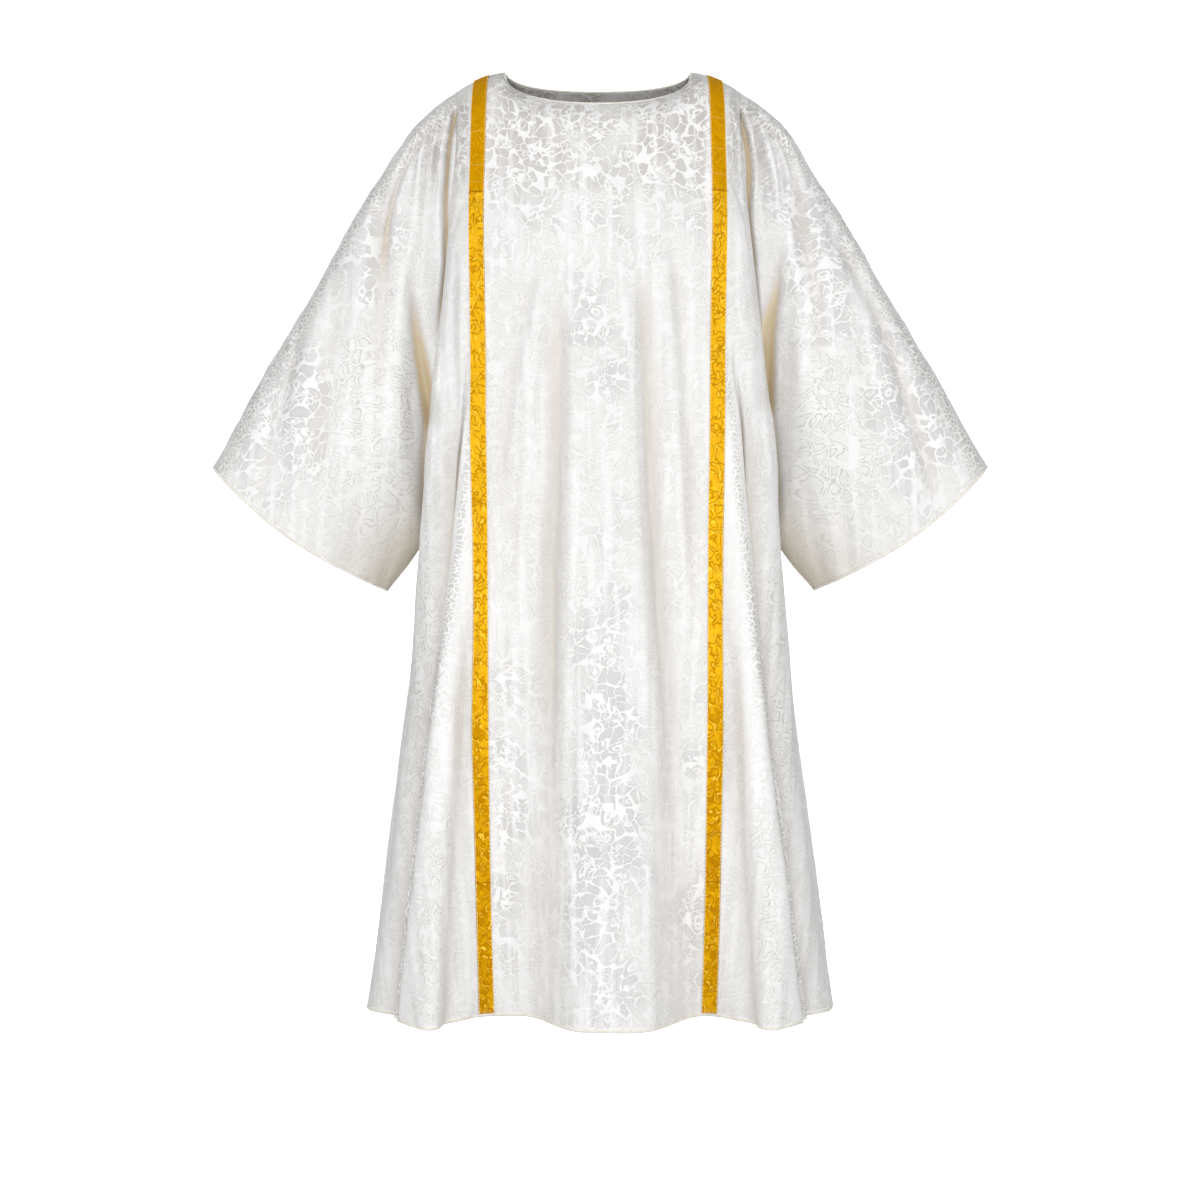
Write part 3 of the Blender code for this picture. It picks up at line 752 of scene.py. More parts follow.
# %% [markdown]
# The deepest folds lie where a sleeve leaves the body.  Three pieces meet there, and each
# would pull away from the others if it moved along its own normals.  A warp of the space
# round the seam moves them all by the same amount, and the seam stays closed.
# %% Valleys beside the body
VALLEYS = {
    "front": [
        # the wearer's right: along the seam, then a second one that runs in to it
        (9.5, 5.2, 4, 20, 80, (-178.5, -44), (-185, -64), (-189.3, -83), (-193.5, -130),
         (-195.7, -177), (-194.5, -213), (-194, -237), (-195, -261), (-197.4, -284),
         (-199.7, -308), (-203, -340), (-207, -375)),
        (15, 11, 6.5, 200, 30, (-245, -230), (-241.2, -279), (-235, -330), (-230, -365),
         (-226.5, -390), (-220.6, -425), (-214.5, -455), (-212, -475)),
        (6.5, 17, 5.5, 60, 60, (-215, -415), (-219, -452), (-223, -500), (-224.5, -560),
         (-223.5, -612)),
        # the cloth stands up beside the seam, below where they meet
        (-4, 3.5, 4, 60, 50, (-201, -340), (-204, -390), (-208.5, -455), (-212.5, -520),
         (-218, -585)),
        (-4, 4, 3.5, 60, 50, (203, -330), (208, -390), (213, -455), (217.5, -520), (222.5, -585)),
        # the lit ridges on both hands of the first one
        (-4.5, 4.2, 3.6, 30, 80, (-186, -42), (-196, -80), (-203, -135), (-205, -180),
         (-204, -230)),
        (-4, 3.6, 3.2, 30, 60, (-173.5, -50), (-180, -80), (-185.5, -130), (-187.5, -180),
         (-187, -230)),
        # the wearer's left
        (-4.5, 3.2, 3.6, 20, 60, (173, -50), (177.5, -75), (182.5, -100), (186, -135),
         (185, -190)),
        (-4.5, 3.6, 4.2, 30, 80, (185, -42), (195, -77), (203, -125), (201.5, -170), (203, -220)),
        (9.5, 4, 5.2, 20, 70, (177.5, -42), (184.8, -71), (190.7, -95), (193.9, -130),
         (192.5, -166), (192, -190), (194.4, -213), (197.2, -237), (199.1, -261), (200.7, -284),
         (203.3, -308), (206.2, -332), (209.5, -365)),
        (17, 7, 12, 200, 30, (225, -200), (231, -250), (230, -285), (225, -309), (220.5, -335),
         (218.4, -376), (218, -404), (217.8, -430), (219.5, -458)),
        (6.5, 5.5, 17, 60, 60, (219, -415), (223.5, -452), (227.5, -500), (231, -550),
         (233.5, -605)),
    ],
    "back": [
        (17, 6, 10, 50, 100, (-186, -70), (-191, -120), (-193, -190), (-197, -270), (-205, -360)),
        (18, 8, 11, 80, 50, (-236, -300), (-227, -380), (-220, -450), (-223, -540)),
        (17, 10, 6, 50, 100, (185, -68), (190.5, -110), (193, -170), (197.5, -260), (207, -370)),
        (18, 12, 8, 80, 50, (240, -290), (229, -370), (222, -440), (225, -530)),
    ],
}

print("valleys:", {seen: len(rows) for seen, rows in VALLEYS.items()})

# %% Sink the cloth along the valleys
REACH_IN = 0.075          # how far behind a valley its wall still moves
REACH_FADE = 0.03         # over which that movement ends


def sink(points, line, seen, valley):
    """How deep a valley takes each point, by where the point is in space."""
    depth = np.zeros(points.shape[:-1])
    flat = line[:, ::2]
    near = inside(points[..., ::2], flat, SPREAD * max(valley["left"], valley["right"]))
    spot = points[near]
    best, segment, share, offset = nearest(spot[:, ::2], flat)
    along = np.diff(flat, axis=0)[segment]
    hand = offset[:, 0] * along[:, 1] - offset[:, 1] * along[:, 0]
    level = line[segment, 1] + share * np.diff(line[:, 1])[segment]
    r = best / np.where(hand * FACING[seen] < 0, valley["right"], valley["left"])
    length = run_along(flat)[-1]
    run = (segment + share) / (len(flat) - 1) * length
    fade = ease(run / valley["fade_in"]) * ease((length - run) / valley["fade_out"])
    behind = (level - spot[:, 1]) * FACING[seen]
    fade = fade * ease((REACH_IN - behind) / REACH_FADE)
    depth[near] = valley["depth"] * profile(r, VALLEY_LIP) * fade
    return depth


def sink_all(points, lines):
    """The points moved by every valley, and how deep each went."""
    moved, deepest = points.copy(), np.zeros(points.shape[:-1])
    for seen, line, valley in lines:
        depth = sink(points, line, seen, valley)
        moved[..., 1] -= depth * FACING[seen]
        deepest += depth
    return moved, deepest


cloud = np.concatenate([panel_points[panel].reshape(-1, 3) for panel in FACING]
                       + [sleeve_points[side].reshape(-1, 3) for side in SIDE])
cloud_normals = np.concatenate(
    [panel_normals(panel, panel_points[panel]).reshape(-1, 3) for panel in FACING]
    + [ring_normals(sleeve_points[side], side).reshape(-1, 3) for side in SIDE])
valley_lines = []
for seen, rows in VALLEYS.items():
    for row in rows:
        valley, path = read_row(row)
        valley_lines.append((seen, lay_path(cloud, cloud_normals, seen, path), valley))
sunk = {}
for grids in (panel_points, sleeve_points):
    for name in grids:
        grids[name], sunk[name] = sink_all(grids[name], valley_lines)
print("deepest valley on the left sleeve:", round(1000 * sunk["left"].max(), 1), "mm")

# %% [markdown]
# Where the cloth turns sharply, at the corner folds and along the top of a sleeve, the finish
# paints grey shade with the weave's net in small light meshes on it.  Under the arm it paints a
# warm shade, for light that reaches it from cloth on every side.  Both are numbers on the points,
# for the finish.
# %% Where the cloth turns sharply
TURN_WIDTH = (0.0040, 0.0080)      # at the start of the fold and at the hem
TURN_INSIDE = {"front": 0.0150, "back": 0.0060}     # from the edge seen, towards the middle
TURN_SHARE = {"front": 1.0, "back": 0.45}           # how strong it is
TURN_GROWS = 0.60                  # length over which a turn comes to its full width
TURN_BEGINS, TURN_FIRST = 0.08, 0.6     # length over which it appears, and its first strength
TOP_TURN, TOP_WIDTH, TOP_SHARE = 0.045, 0.018, 0.75     # a sleeve's, from its top line
UNDERARM_SHADE_REACH = 0.070                # how far the warm shade reaches from the underarm line


# the mark for the painted grey shade along the corner folds
def corner_turn(panel, grid, cloth):
    """1 along the corner folds, falling to nothing a few millimetres away."""
    total = np.zeros(grid.shape[:2])
    for side, sign in SIDE.items():
        path = np.array(CORNERS[panel, side]) / 1000
        columns = slice(MIDDLE, None) if side == "left" else slice(MIDDLE, None, -1)
        for row in range(UNDERARM_ROW // 2, len(grid)):
            z = grid[row, MIDDLE, 2]
            out = sign * grid[row, columns, 0]
            across = sign * cloth[row, columns, 0]
            rising = int(np.argmax(out)) + 1
            edge = abs(np.interp(-z, -path[:, 1], path[:, 0]))
            place = np.interp(edge, out[:rising], across[:rising])
            grown = ease((path[0, 1] - z) / TURN_GROWS)
            width = TURN_WIDTH[0] + (TURN_WIDTH[1] - TURN_WIDTH[0]) * grown
            far = (across - place + TURN_INSIDE[panel]) / width
            begun = ease((path[0, 1] - z) / TURN_BEGINS)
            begun = begun * (TURN_FIRST + (1 - TURN_FIRST) * grown)
            total[row, columns] += TURN_SHARE[panel] * begun * np.exp(-far ** 2)
    return total


panel_turn_shade = {panel: corner_turn(panel, panel_points[panel], panel_cloth[panel])
                for panel in FACING}
sleeve_turn_shade, sleeve_underarm_shade = {}, {}
for side, places in sleeve_places.items():
    bottom = places.shape[1] // 2
    from_top = np.linalg.norm(places - places[:, :1], axis=2)
    from_bottom = np.linalg.norm(places - places[:, bottom:bottom + 1], axis=2)
    sleeve_turn_shade[side] = TOP_SHARE * np.exp(-((from_top - TOP_TURN) / TOP_WIDTH) ** 2)
    sleeve_underarm_shade[side] = np.exp(-(from_bottom / UNDERARM_SHADE_REACH) ** 2)
print("turned and warm cloth marked on", len(panel_turn_shade) + len(sleeve_turn_shade), "pieces")

# %% [markdown]
# Now each piece is shaped: its creases are pressed and its unevenness is added, both held back
# near the seams.  What is left of the movement also says how deep in a fold each point lies,
# which the finish paints as shade in the folds and highlight on the ridges.
# %% Shape the front and back
SIDE_HOLD, TOP_HOLD, SLEEVE_HOLD = 0.016, 0.030, 0.022     # how far in the seams hold the cloth
YOKE_EVEN = 0.35                       # share of the unevenness that the flat yoke keeps
YOKE_END, YOKE_FADE = 0.10, 0.12
# the weights of the fold number from which the finish paints shade in folds and highlight on
# ridges
FOLD_WEIGHTS = {"panel": (0.6, 0.5), "sleeve": (0.7, 1.5)}     # of creases and of valleys


def distance_in(cloth):
    """Distance along the cloth from each point to the two outer edges of its row."""
    across = cloth[..., 0]
    return np.minimum(across - across[:, :1], across[:, -1:] - across)


def fold_depth(kind, moved, sunk_by):
    """How far each point stands out, from the two kinds of fold."""
    creases, valleys = FOLD_WEIGHTS[kind]
    return creases * moved - valleys * sunk_by


def range_mm(moved):
    return f"folds from {1000 * moved.min():.1f} to {1000 * moved.max():.1f} mm"


panel_lifts, panel_folds = {}, {}
for panel in FACING:
    grid, cloth = panel_points[panel], panel_cloth[panel]
    normals = panel_normals(panel, grid)
    top = cloth[:1, :, 1] - cloth[..., 1]
    hold = ease(distance_in(cloth) / SIDE_HOLD) * ease(top / TOP_HOLD)
    even = YOKE_EVEN + (1 - YOKE_EVEN) * ease((top - YOKE_END) / YOKE_FADE)
    moved = hold * (press_all(grid, normals, BODY_CREASES, panel)
                    + even * unevenness(cloth, panel))
    panel_points[panel] = grid + normals * moved[..., None]
    panel_lifts[panel] = panel_normals(panel, panel_points[panel])
    panel_folds[panel] = fold_depth("panel", moved, sunk[panel])
    print(panel, range_mm(moved))

# %% Shape the sleeves
sleeve_lifts, sleeve_folds = {}, {}
for side in SIDE:
    rings = sleeve_points[side]
    normals = ring_normals(rings, side)
    run = run_along(rings)
    moved = ease(run / SLEEVE_HOLD) * (press_all(rings, normals, SLEEVE_CREASES, "sleeve_" + side)
                                       + unevenness(sleeve_places[side], side))
    sleeve_points[side] = rings + normals * moved[..., None]
    sleeve_lifts[side] = ring_normals(sleeve_points[side], side)
    sleeve_folds[side] = fold_depth("sleeve", moved, sunk[side])
    print(side, "sleeve", range_mm(moved), "and top line", round(float(run[-1, 0]), 3), "m")

# %% [markdown]
# ## Materials
# The surface of this robe is its weave.  Damask is one colour: the pattern shows because its
# floats lie the other way and shine differently from the ground.  So the finish mixes two
# whites that differ a little in colour and clearly in gloss, and lifts the figure slightly.
# A short helper turns Python expressions into shader nodes, which keeps the maths readable.
# %% Shader maths
class Wire:
    """One output socket, usable in sums."""

    def __init__(self, finish, socket):
        self.finish, self.socket = finish, socket

    def maths(self, operation, *values):
        sockets = dict(enumerate(values))
        return self.finish.node("Math", {"operation": operation}, sockets)

    def __add__(self, other):
        return self.maths("ADD", self, other)

    def __radd__(self, other):
        return self.maths("ADD", other, self)

    def __sub__(self, other):
        return self.maths("SUBTRACT", self, other)

    def __rsub__(self, other):
        return self.maths("SUBTRACT", other, self)

    def __mul__(self, other):
        return self.maths("MULTIPLY", self, other)

    def __rmul__(self, other):
        return self.maths("MULTIPLY", other, self)

    def size(self):
        return self.maths("ABSOLUTE", self)

    def wave(self):
        return self.maths("SINE", self)

    def least(self, other):
        return self.maths("MINIMUM", self, other)

    def most(self, other):
        return self.maths("MAXIMUM", self, other)

    def rise(self, low, high, start=0.0, end=1.0):
        """Smooth step from `start` at `low` to `end` at `high`."""
        return self.finish.node("MapRange", {"interpolation_type": "SMOOTHSTEP"},
                                {0: self, 1: low, 2: high, 3: start, 4: end})


print("a wire can:", ", ".join(name for name in vars(Wire) if name[0] != "_"))

# %% Material builder
class Finish:
    """A material under construction: its Principled shader and the nodes that feed it."""

    def __init__(self, name, **constants):
        self.material = bpy.data.materials.new(name)
        self.material.use_nodes = True
        self.tree = self.material.node_tree
        self.shader = self.tree.nodes["Principled BSDF"]
        for socket, value in constants.items():
            self.shader.inputs[socket.replace("_", " ")].default_value = value

    def feed(self, socket, value):
        if isinstance(value, Wire):
            self.tree.links.new(value.socket, socket)
        else:
            socket.default_value = value

    def node(self, kind, settings, sockets, output=0):
        made = self.tree.nodes.new("ShaderNode" + kind)
        for key, value in settings.items():
            setattr(made, key, value)
        for key, value in sockets.items():
            self.feed(made.inputs[key], value)
        return Wire(self, made.outputs[output])

    def set(self, **fed):
        for socket, value in fed.items():
            self.feed(self.shader.inputs[socket.replace("_", " ")], value)

    def colour(self, low, high, share):
        """A mix of two colours, each a socket or red, green and blue."""
        low, high = (c if isinstance(c, Wire) else (*c, 1) for c in (low, high))
        sockets = {"Factor": share, 6: low, 7: high}
        return self.node("Mix", {"data_type": "RGBA"}, sockets, output=2)

    def place(self):
        """The cloth's own coordinates."""
        return self.node("UVMap", {"uv_map": "cloth"}, {})

    def number(self, name):
        """A number that the points of the cloth carry."""
        return self.node("Attribute", {"attribute_name": name}, {}, output="Fac")

    def part(self, place, axis, scale=None):
        """One coordinate, times a scale where one is given."""
        part = self.node("SeparateXYZ", {}, {0: place}, output=axis)
        return part if scale is None else part * scale

    def shift(self, place, by):
        return self.node("VectorMath", {"operation": "ADD"}, {0: place, 1: by})

    def stretch(self, place, by):
        return self.node("VectorMath", {"operation": "MULTIPLY"}, {0: place, 1: by})

    def noise(self, place, scale, detail=2.0, output="Fac"):
        return self.node("TexNoise", {"noise_dimensions": "2D"},
                         {"Vector": place, "Scale": scale, "Detail": detail}, output)

    def cells(self, place, scale, feature="F1", output="Distance"):
        return self.node("TexVoronoi", {"voronoi_dimensions": "2D", "feature": feature},
                         {"Vector": place, "Scale": scale}, output)

    def cell_pick(self, place, scale):
        """A number of its own for each cell."""
        return self.node("SeparateColor", {}, {0: self.cells(place, scale, output="Color")})

    def wander(self, place, scale, reach):
        """Coordinates that wander by a smooth noise, so that straight cell walls turn curly."""
        swirl = self.noise(place, scale, 1.0, output="Color")
        swirl = self.node("VectorMath", {"operation": "SUBTRACT"}, {0: swirl, 1: (0.5, 0.5, 0.5)})
        return self.shift(place, self.stretch(swirl, (reach, reach, reach)))

    def bump(self, height, depth, under=None):
        sockets = {"Height": height, "Distance": depth, "Strength": 1.0}
        if under is not None:
            sockets["Normal"] = under
        return self.node("Bump", {}, sockets)


print("shader helpers ready")

# %% [markdown]
# ## Ivory damask
# The figure is an all-over net: light veins round grey pebbles of uneven size, filled where
# three of them meet, with clusters of little rings and faint scrolls among them.  It is drawn
# from three sets of cells in the cloth's own metres, on coordinates that wander so that no
# wall stays straight.  The contrast comes and goes over the robe, as painted sheen where the
# satin floats would catch the light.
# %% Figure of the damask
PEBBLES, MESHES, ARCS = 70.0, 165.0, 23.0     # cells to a metre


def damask_figure(finish, place):
    """Masks of the figure, of its outline and of the fine net the turned cloth shows."""
    uneven = finish.wander(place, 17.0, 0.032)
    curly = finish.wander(uneven, 50.0, 0.012)
    few = finish.noise(place, 36.0, 1.0).rise(0.515, 0.565)
    large = finish.cells(curly, PEBBLES, "DISTANCE_TO_EDGE")
    heart = finish.cells(curly, PEBBLES)
    small = finish.cells(curly, MESHES, "DISTANCE_TO_EDGE")
    thick = finish.noise(place, 110.0, 0.0).rise(0.40, 0.75, 0.012, 0.075)
    vein = 1 - large.rise(thick, thick + 0.05)
    corner = heart.rise(0.61, 0.67)
    blob = finish.cell_pick(curly, MESHES).rise(0.78, 0.80)
    lace = (1 - small.rise(0.05, 0.12)).most(blob)
    stripe = finish.cell_pick(curly, PEBBLES).rise(0.84, 0.85)
    ring = 1 - (heart - 0.22).size().rise(0.05, 0.11)
    arcs = finish.cells(finish.wander(place, 22.0, 0.020), ARCS)
    scroll = 1 - ((arcs * 54.0).wave() - 0.2).size().rise(0.10, 0.45)
    scroll = scroll * finish.noise(place, 9.0, 0.0).rise(0.54, 0.60)
    net = 1 - small.rise(0.05, 0.17)
    figure = vein.most(corner).most(lace * few).most(ring * stripe).most(scroll * 0.5)
    outline = (1 - (large - thick - 0.10).size().rise(0.01, 0.06)).most(
        (1 - (small - 0.19).size().rise(0.02, 0.08)) * few * (1 - blob))
    return figure.least(1.0), outline * (1 - corner), net


print("cells of the figure are about", [round(1000 / many) for many in (PEBBLES, MESHES, ARCS)],
      "mm wide")

# %% [markdown]
# The colour starts from the ground between the veins, which is painted a little greyer where the
# painted sheen is strong and painted darker and warmer on the yoke as shade.  Then each row lays
# one more tint over it: the outline, the figure, long streaks of painted sheen, painted shade at
# the bottoms of the folds and painted highlights on their ridges, painted warm shade under the
# arm, and painted grey shade with the light net of the figure where the cloth turns away.
# %% Damask
WEAVE_PITCH = 9000.0      # radians to a metre


def damask_finish():
    finish = Finish("ivory_damask", Sheen_Weight=0.05, Sheen_Roughness=0.4, Coat_Roughness=0.30,
                    Specular_IOR_Level=0.65)
    place = finish.place()
    figure, outline, net = damask_figure(finish, place)
    # painted sheen: where the satin would catch the light the figure stands out strongly; below
    # nothing only its outline shows
    spots = finish.number("painted_sheen")
    uneven = finish.noise(place, 17.0, 2.0).rise(0.3, 0.7, -0.30, 0.30)
    strong = (spots + uneven).rise(0.05, 0.85)
    show = figure * (0.42 + 0.58 * strong)
    # painted sheen: long soft lighter streaks stand in for satin highlights down the folds
    painted_sheen_streak = finish.noise(finish.stretch(place, (1.0, 0.07, 1.0)), 75.0, 2.0)
    fold, turned, under = (finish.number(name) for name in ("fold", "turned", "under"))
    lined = (0 - spots).rise(0.1, 0.8, 0.34, 0.85)
    # painted shade and sheen: the ground is greyer where the painted sheen is strong, and darker
    # and warmer on the yoke, which tilts up away from the lamps
    yoke = finish.part(place, 1).rise(-0.14, 0.02)
    shade = finish.colour((0.63, 0.621, 0.618), (0.555, 0.53, 0.505), yoke)
    tone = finish.colour((0.79, 0.785, 0.775), shade, strong)
    for tint, share in (
            ((0.53, 0.51, 0.475), outline * lined),
            ((0.875, 0.87, 0.865), show),
            ((0.92, 0.915, 0.915), painted_sheen_streak.rise(0.48, 0.68) * 0.45),
            # painted shade at the bottoms of folds, a grey one and a deeper warm one, then a
            # painted highlight on the ridges
            ((0.645, 0.605, 0.565), fold.rise(0.06, 0.46) * 0.62),
            ((0.74, 0.60, 0.36), fold.rise(0.30, 0.90) * 0.80),
            ((0.955, 0.95, 0.945), (0 - fold).rise(0.05, 0.30) * 0.48),
            # painted warm shade under the arm, standing in for light bounced from cloth on every
            # side
            ((0.72, 0.62, 0.45), under * 0.70),
            # painted shade where the cloth turns away, in grey, with the figure's own net painted
            # brighter on it as a highlight
            ((0.46, 0.44, 0.42), turned * (1 - net) * 0.80),
            ((0.96, 0.955, 0.95), turned * net * 0.80)):
        tone = finish.colour(tone, tint, share)
    across, down = (finish.part(place, axis, WEAVE_PITCH).wave() for axis in (0, 1))
    relief = finish.bump(figure, 0.00016)
    relief = finish.bump(across * down, 0.000008, relief)
    finish.set(Base_Color=tone, Roughness=0.48 - 0.12 * show, Coat_Weight=0.08 * show,
               Normal=relief)
    return finish.material


damask = damask_finish()
print("damask has", len(damask.node_tree.nodes), "nodes")

# %% [markdown]
# ## Gold braid
# The bands are a flat gold cloth with an embossed scroll.  They are all one colour too, so the
# scroll is mostly relief; its colour paints shade in darker lines where it is pressed down and
# painted highlights as small glints beside them.  Over the shoulder it lies smooth, and lower
# down it is more crushed, with painted shade in the crushed patches.
# %% Gold
BAND_JOINS = (0.218, 1.089)   # down the cloth from the shoulder seam


def gold_finish():
    finish = Finish("gold_braid", Metallic=0.25, Specular_IOR_Level=0.0)
    place = finish.place()
    down = finish.part(place, 1)
    curled = finish.wander(place, 70.0, 0.011)
    scroll = finish.noise(finish.stretch(curled, (1.0, 0.8, 1.0)), 150.0, 0.0)
    # painted shade: darker lines where the scroll is pressed down
    line = 1 - (scroll - 0.5).size().rise(0.025, 0.125)
    line = line * finish.noise(place, 60.0, 0.0).rise(0.30, 0.42)
    # painted highlight: small glints beside the pressed lines
    painted_glint = 1 - (scroll - 0.64).size().rise(0.015, 0.070)
    painted_glint = painted_glint * finish.noise(place, 85.0, 0.0).rise(0.40, 0.56)
    # crushed relief for the bump and roughness, and also painted shade in its dark patches
    crush_and_shade = finish.noise(curled, 85.0, 1.0)
    coarse = down.rise(-1.02, -0.72, 1.0, 0.12)
    smooth = down.rise(-0.220, -0.216)
    tone = finish.colour((0.85, 0.465, 0.013), (0.67, 0.345, 0.004), coarse)
    tints = [((0.72, 0.345, 0.001), smooth),
             ((0.44, 0.170, 0.001), crush_and_shade.rise(0.42, 0.60) * coarse * 0.65),
             ((0.50, 0.215, 0.001), line * (0.85 - 0.45 * smooth)),
             ((1.0, 0.68, 0.07), painted_glint * (0.75 - 0.60 * smooth))]
    # painted shadow: a dark line across the braid where the upper length laps over the next
    tints += [((0.34, 0.13, 0.001), (1 - (down + join).size().rise(0.0005, 0.0014)) * 0.8)
              for join in BAND_JOINS]
    for tint, share in tints:
        tone = finish.colour(tone, tint, share)
    relief = finish.bump(line, -0.00030)
    relief = finish.bump(crush_and_shade, 0.0005, relief)
    finish.set(Base_Color=tone, Roughness=crush_and_shade.rise(0.3, 0.7, 0.34, 0.50), Normal=relief)
    return finish.material


gold = gold_finish()
print("gold has", len(gold.node_tree.nodes), "nodes")


# %% Satin and threads
RIB_PITCH = 3200.0        # radians to a metre


def satin_finish(name, light, dark, rough):
    """Folded satin or spun thread: fine ribs across, with a little unevenness."""
    finish = Finish(name, Sheen_Weight=0.1)
    place = finish.place()
    ribs = finish.part(place, 1, RIB_PITCH).wave()
    patch = finish.noise(place, 90.0, 2.0)
    tone = finish.colour(light, dark, patch.rise(0.35, 0.7) * 0.6)
    relief = finish.bump(ribs * 0.5 + patch, 0.00012)
    finish.set(Base_Color=tone, Roughness=patch.rise(0.3, 0.7, rough - 0.06, rough + 0.06),
               Normal=relief)
    return finish.material


satin = satin_finish("cream_binding", (0.86, 0.835, 0.77), (0.74, 0.70, 0.60), 0.45)
thread = satin_finish("ivory_thread", (0.86, 0.84, 0.79), (0.74, 0.71, 0.64), 0.50)
gold_thread = satin_finish("gold_thread", (0.97, 0.77, 0.30), (0.92, 0.62, 0.14), 0.42)
print("materials:", len(bpy.data.materials))

# %% [markdown]
# ## From grids to thin cloth
# Each grid becomes a closed thin shell: the outer face, an inner face one cloth thickness
# behind it, and a narrow rim.  Both faces carry the cloth's coordinates for the weave, and
# four numbers for the finish, which paints light and shade from them: how deep in a fold each
# point lies, how strongly the painted sheen shows the figure, whether the cloth turns there, and
# how near the underarm it is.
# %% Pieces and faces
SHARP = math.radians(60)


def add_piece(name, mesh, material, nodes):
    """Put a finished mesh in the scene, on the robe's one body."""
    mesh.materials.append(material)
    mesh.shade_smooth()
    mesh.set_sharp_from_angle(angle=SHARP)
    piece = bpy.data.objects.new(name, mesh)
    bpy.context.scene.collection.objects.link(piece)
    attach(piece, "root")
    if nodes:
        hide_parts(*nodes)
    return piece


def grid_faces(rows, columns, around=False, along=False):
    """Quads of a grid; `around` joins its last column to the first, `along` its last row."""
    i, j = np.meshgrid(np.arange(rows if along else rows - 1),
                       np.arange(columns if around else columns - 1), indexing="ij")
    n, k = (i + 1) % rows, (j + 1) % columns
    quads = np.stack((i * columns + j, n * columns + j, n * columns + k, i * columns + k), axis=-1)
    return quads.reshape(-1, 4)


def rim_faces(rows, columns, closed):
    """Quads that join the two faces round the edge of a grid."""
    index = np.arange(rows * columns).reshape(rows, columns)
    if closed:
        loops = (index[0], index[-1, ::-1])
    else:
        loops = (np.concatenate((index[0, :-1], index[:-1, -1], index[-1, :0:-1],
                                 index[:0:-1, 0])),)
    below = rows * columns
    rims = []
    for first in loops:
        second = np.roll(first, -1)
        rims.append(np.stack((first, second, below + second, below + first), axis=-1))
    return np.concatenate(rims)


print("faces of a front:", len(grid_faces(*panel_points["front"].shape[:2])))

# %% Shell with its coordinates and numbers
def cloth_corners(quads, cloth, columns):
    """The cloth's coordinates at the corners of each face."""
    row, column = np.divmod(quads % (cloth.shape[0] * columns), columns)
    past = (column == 0) & (column.max(axis=1, keepdims=True) == columns - 1)
    return cloth[row, np.where(past & (cloth.shape[1] > columns), columns, column)]


def shell(name, outer, inner, cloth, numbers, closed=False):
    """Mesh of a thin wall between two grids; `cloth` has a column more where it is closed."""
    rows, columns = outer.shape[:2]
    front = grid_faces(rows, columns, around=closed)
    back = front[:, ::-1] + rows * columns
    quads = np.concatenate((front, back, rim_faces(rows, columns, closed)))
    points = np.concatenate((outer.reshape(-1, 3), inner.reshape(-1, 3)))
    mesh = bpy.data.meshes.new(name)
    mesh.from_pydata(points, [], quads)
    layer = mesh.uv_layers.new(name="cloth")
    layer.data.foreach_set("uv", cloth_corners(quads, cloth, columns).astype(np.float32).ravel())
    turn_out(mesh, outer[0, 0] - inner[0, 0])
    for key, values in numbers.items():
        number = mesh.attributes.new(key, "FLOAT", "POINT")
        number.data.foreach_set("value", np.tile(values.ravel(), 2).astype(np.float32))
    mesh.update()
    return mesh


def turn_out(mesh, outward):
    """Flip all faces where the first one looks inwards."""
    if mesh.polygons[0].normal.dot(tuple(outward)) < 0:
        mesh.flip_normals()


print("a wall is", 1000 * CLOTH, "mm thick")

# %% [markdown]
# The contrast between figure and ground isn't the same all over: it is strong on the yoke, down
# the middle and on parts of the sleeves, and faint between.  This is painted sheen, standing in
# for the satin floats catching the light.  Each row is one soft spot, and a negative one keeps
# only the outline of the figure.
# %% Where the painted sheen makes the damask lively
SHEEN_SPOT_COLUMNS = ("x", "z", "wide", "tall", "strength")
SHEEN_SPOTS = {
    "front back": (
        (-0.100, -0.100, 0.070, 0.130, 1.00),
        (0.100, -0.100, 0.070, 0.130, 1.00),
        (0.000, -0.070, 0.090, 0.110, 0.60),
        (0.000, -0.165, 0.125, 0.070, 0.62),
        (-0.172, -0.095, 0.026, 0.070, 0.75),
        (0.174, -0.095, 0.026, 0.070, 0.75),
        (0.004, -0.350, 0.050, 0.090, 0.55),
        (0.006, -0.960, 0.048, 0.300, 1.00),
        (-0.112, -0.920, 0.026, 0.200, 0.70),
        (0.120, -1.000, 0.022, 0.200, 0.50),
        (-0.215, -0.900, 0.036, 0.330, -0.80),
        (0.222, -0.900, 0.036, 0.330, -0.80),
    ),
    "sleeve_right": (
        (-0.410, -0.430, 0.085, 0.110, 1.00),
        (-0.300, -0.210, 0.050, 0.110, 0.90),
        (-0.285, -0.460, 0.070, 0.150, -0.90),
        (-0.215, -0.080, 0.040, 0.080, 0.70),
    ),
    "sleeve_left": (
        (0.220, -0.090, 0.045, 0.085, 0.80),
        (0.400, -0.430, 0.085, 0.120, 0.90),
        (0.290, -0.240, 0.060, 0.120, 1.00),
        (0.300, -0.480, 0.065, 0.130, -0.80),
    ),
}
# a fold of this depth gets the full painted shade
DEEP_FOLD = 0.016         # a fold of this depth has the full tint


def painted_sheen(wall, points):
    """Painted sheen: how strongly figure and ground differ; below nothing, only the outline stands
    out.
    """
    total = np.zeros(points.shape[:-1])
    for walls, rows in SHEEN_SPOTS.items():
        for row in rows if wall in walls.split() else ():
            spot = dict(zip(SHEEN_SPOT_COLUMNS, row))
            far = (((points[..., 0] - spot["x"]) / spot["wide"]) ** 2
                   + ((points[..., 2] - spot["z"]) / spot["tall"]) ** 2)
            share = spot["strength"] * np.exp(-far ** 1.5)
            total = np.where(np.abs(share) > np.abs(total), share, total)
    return total


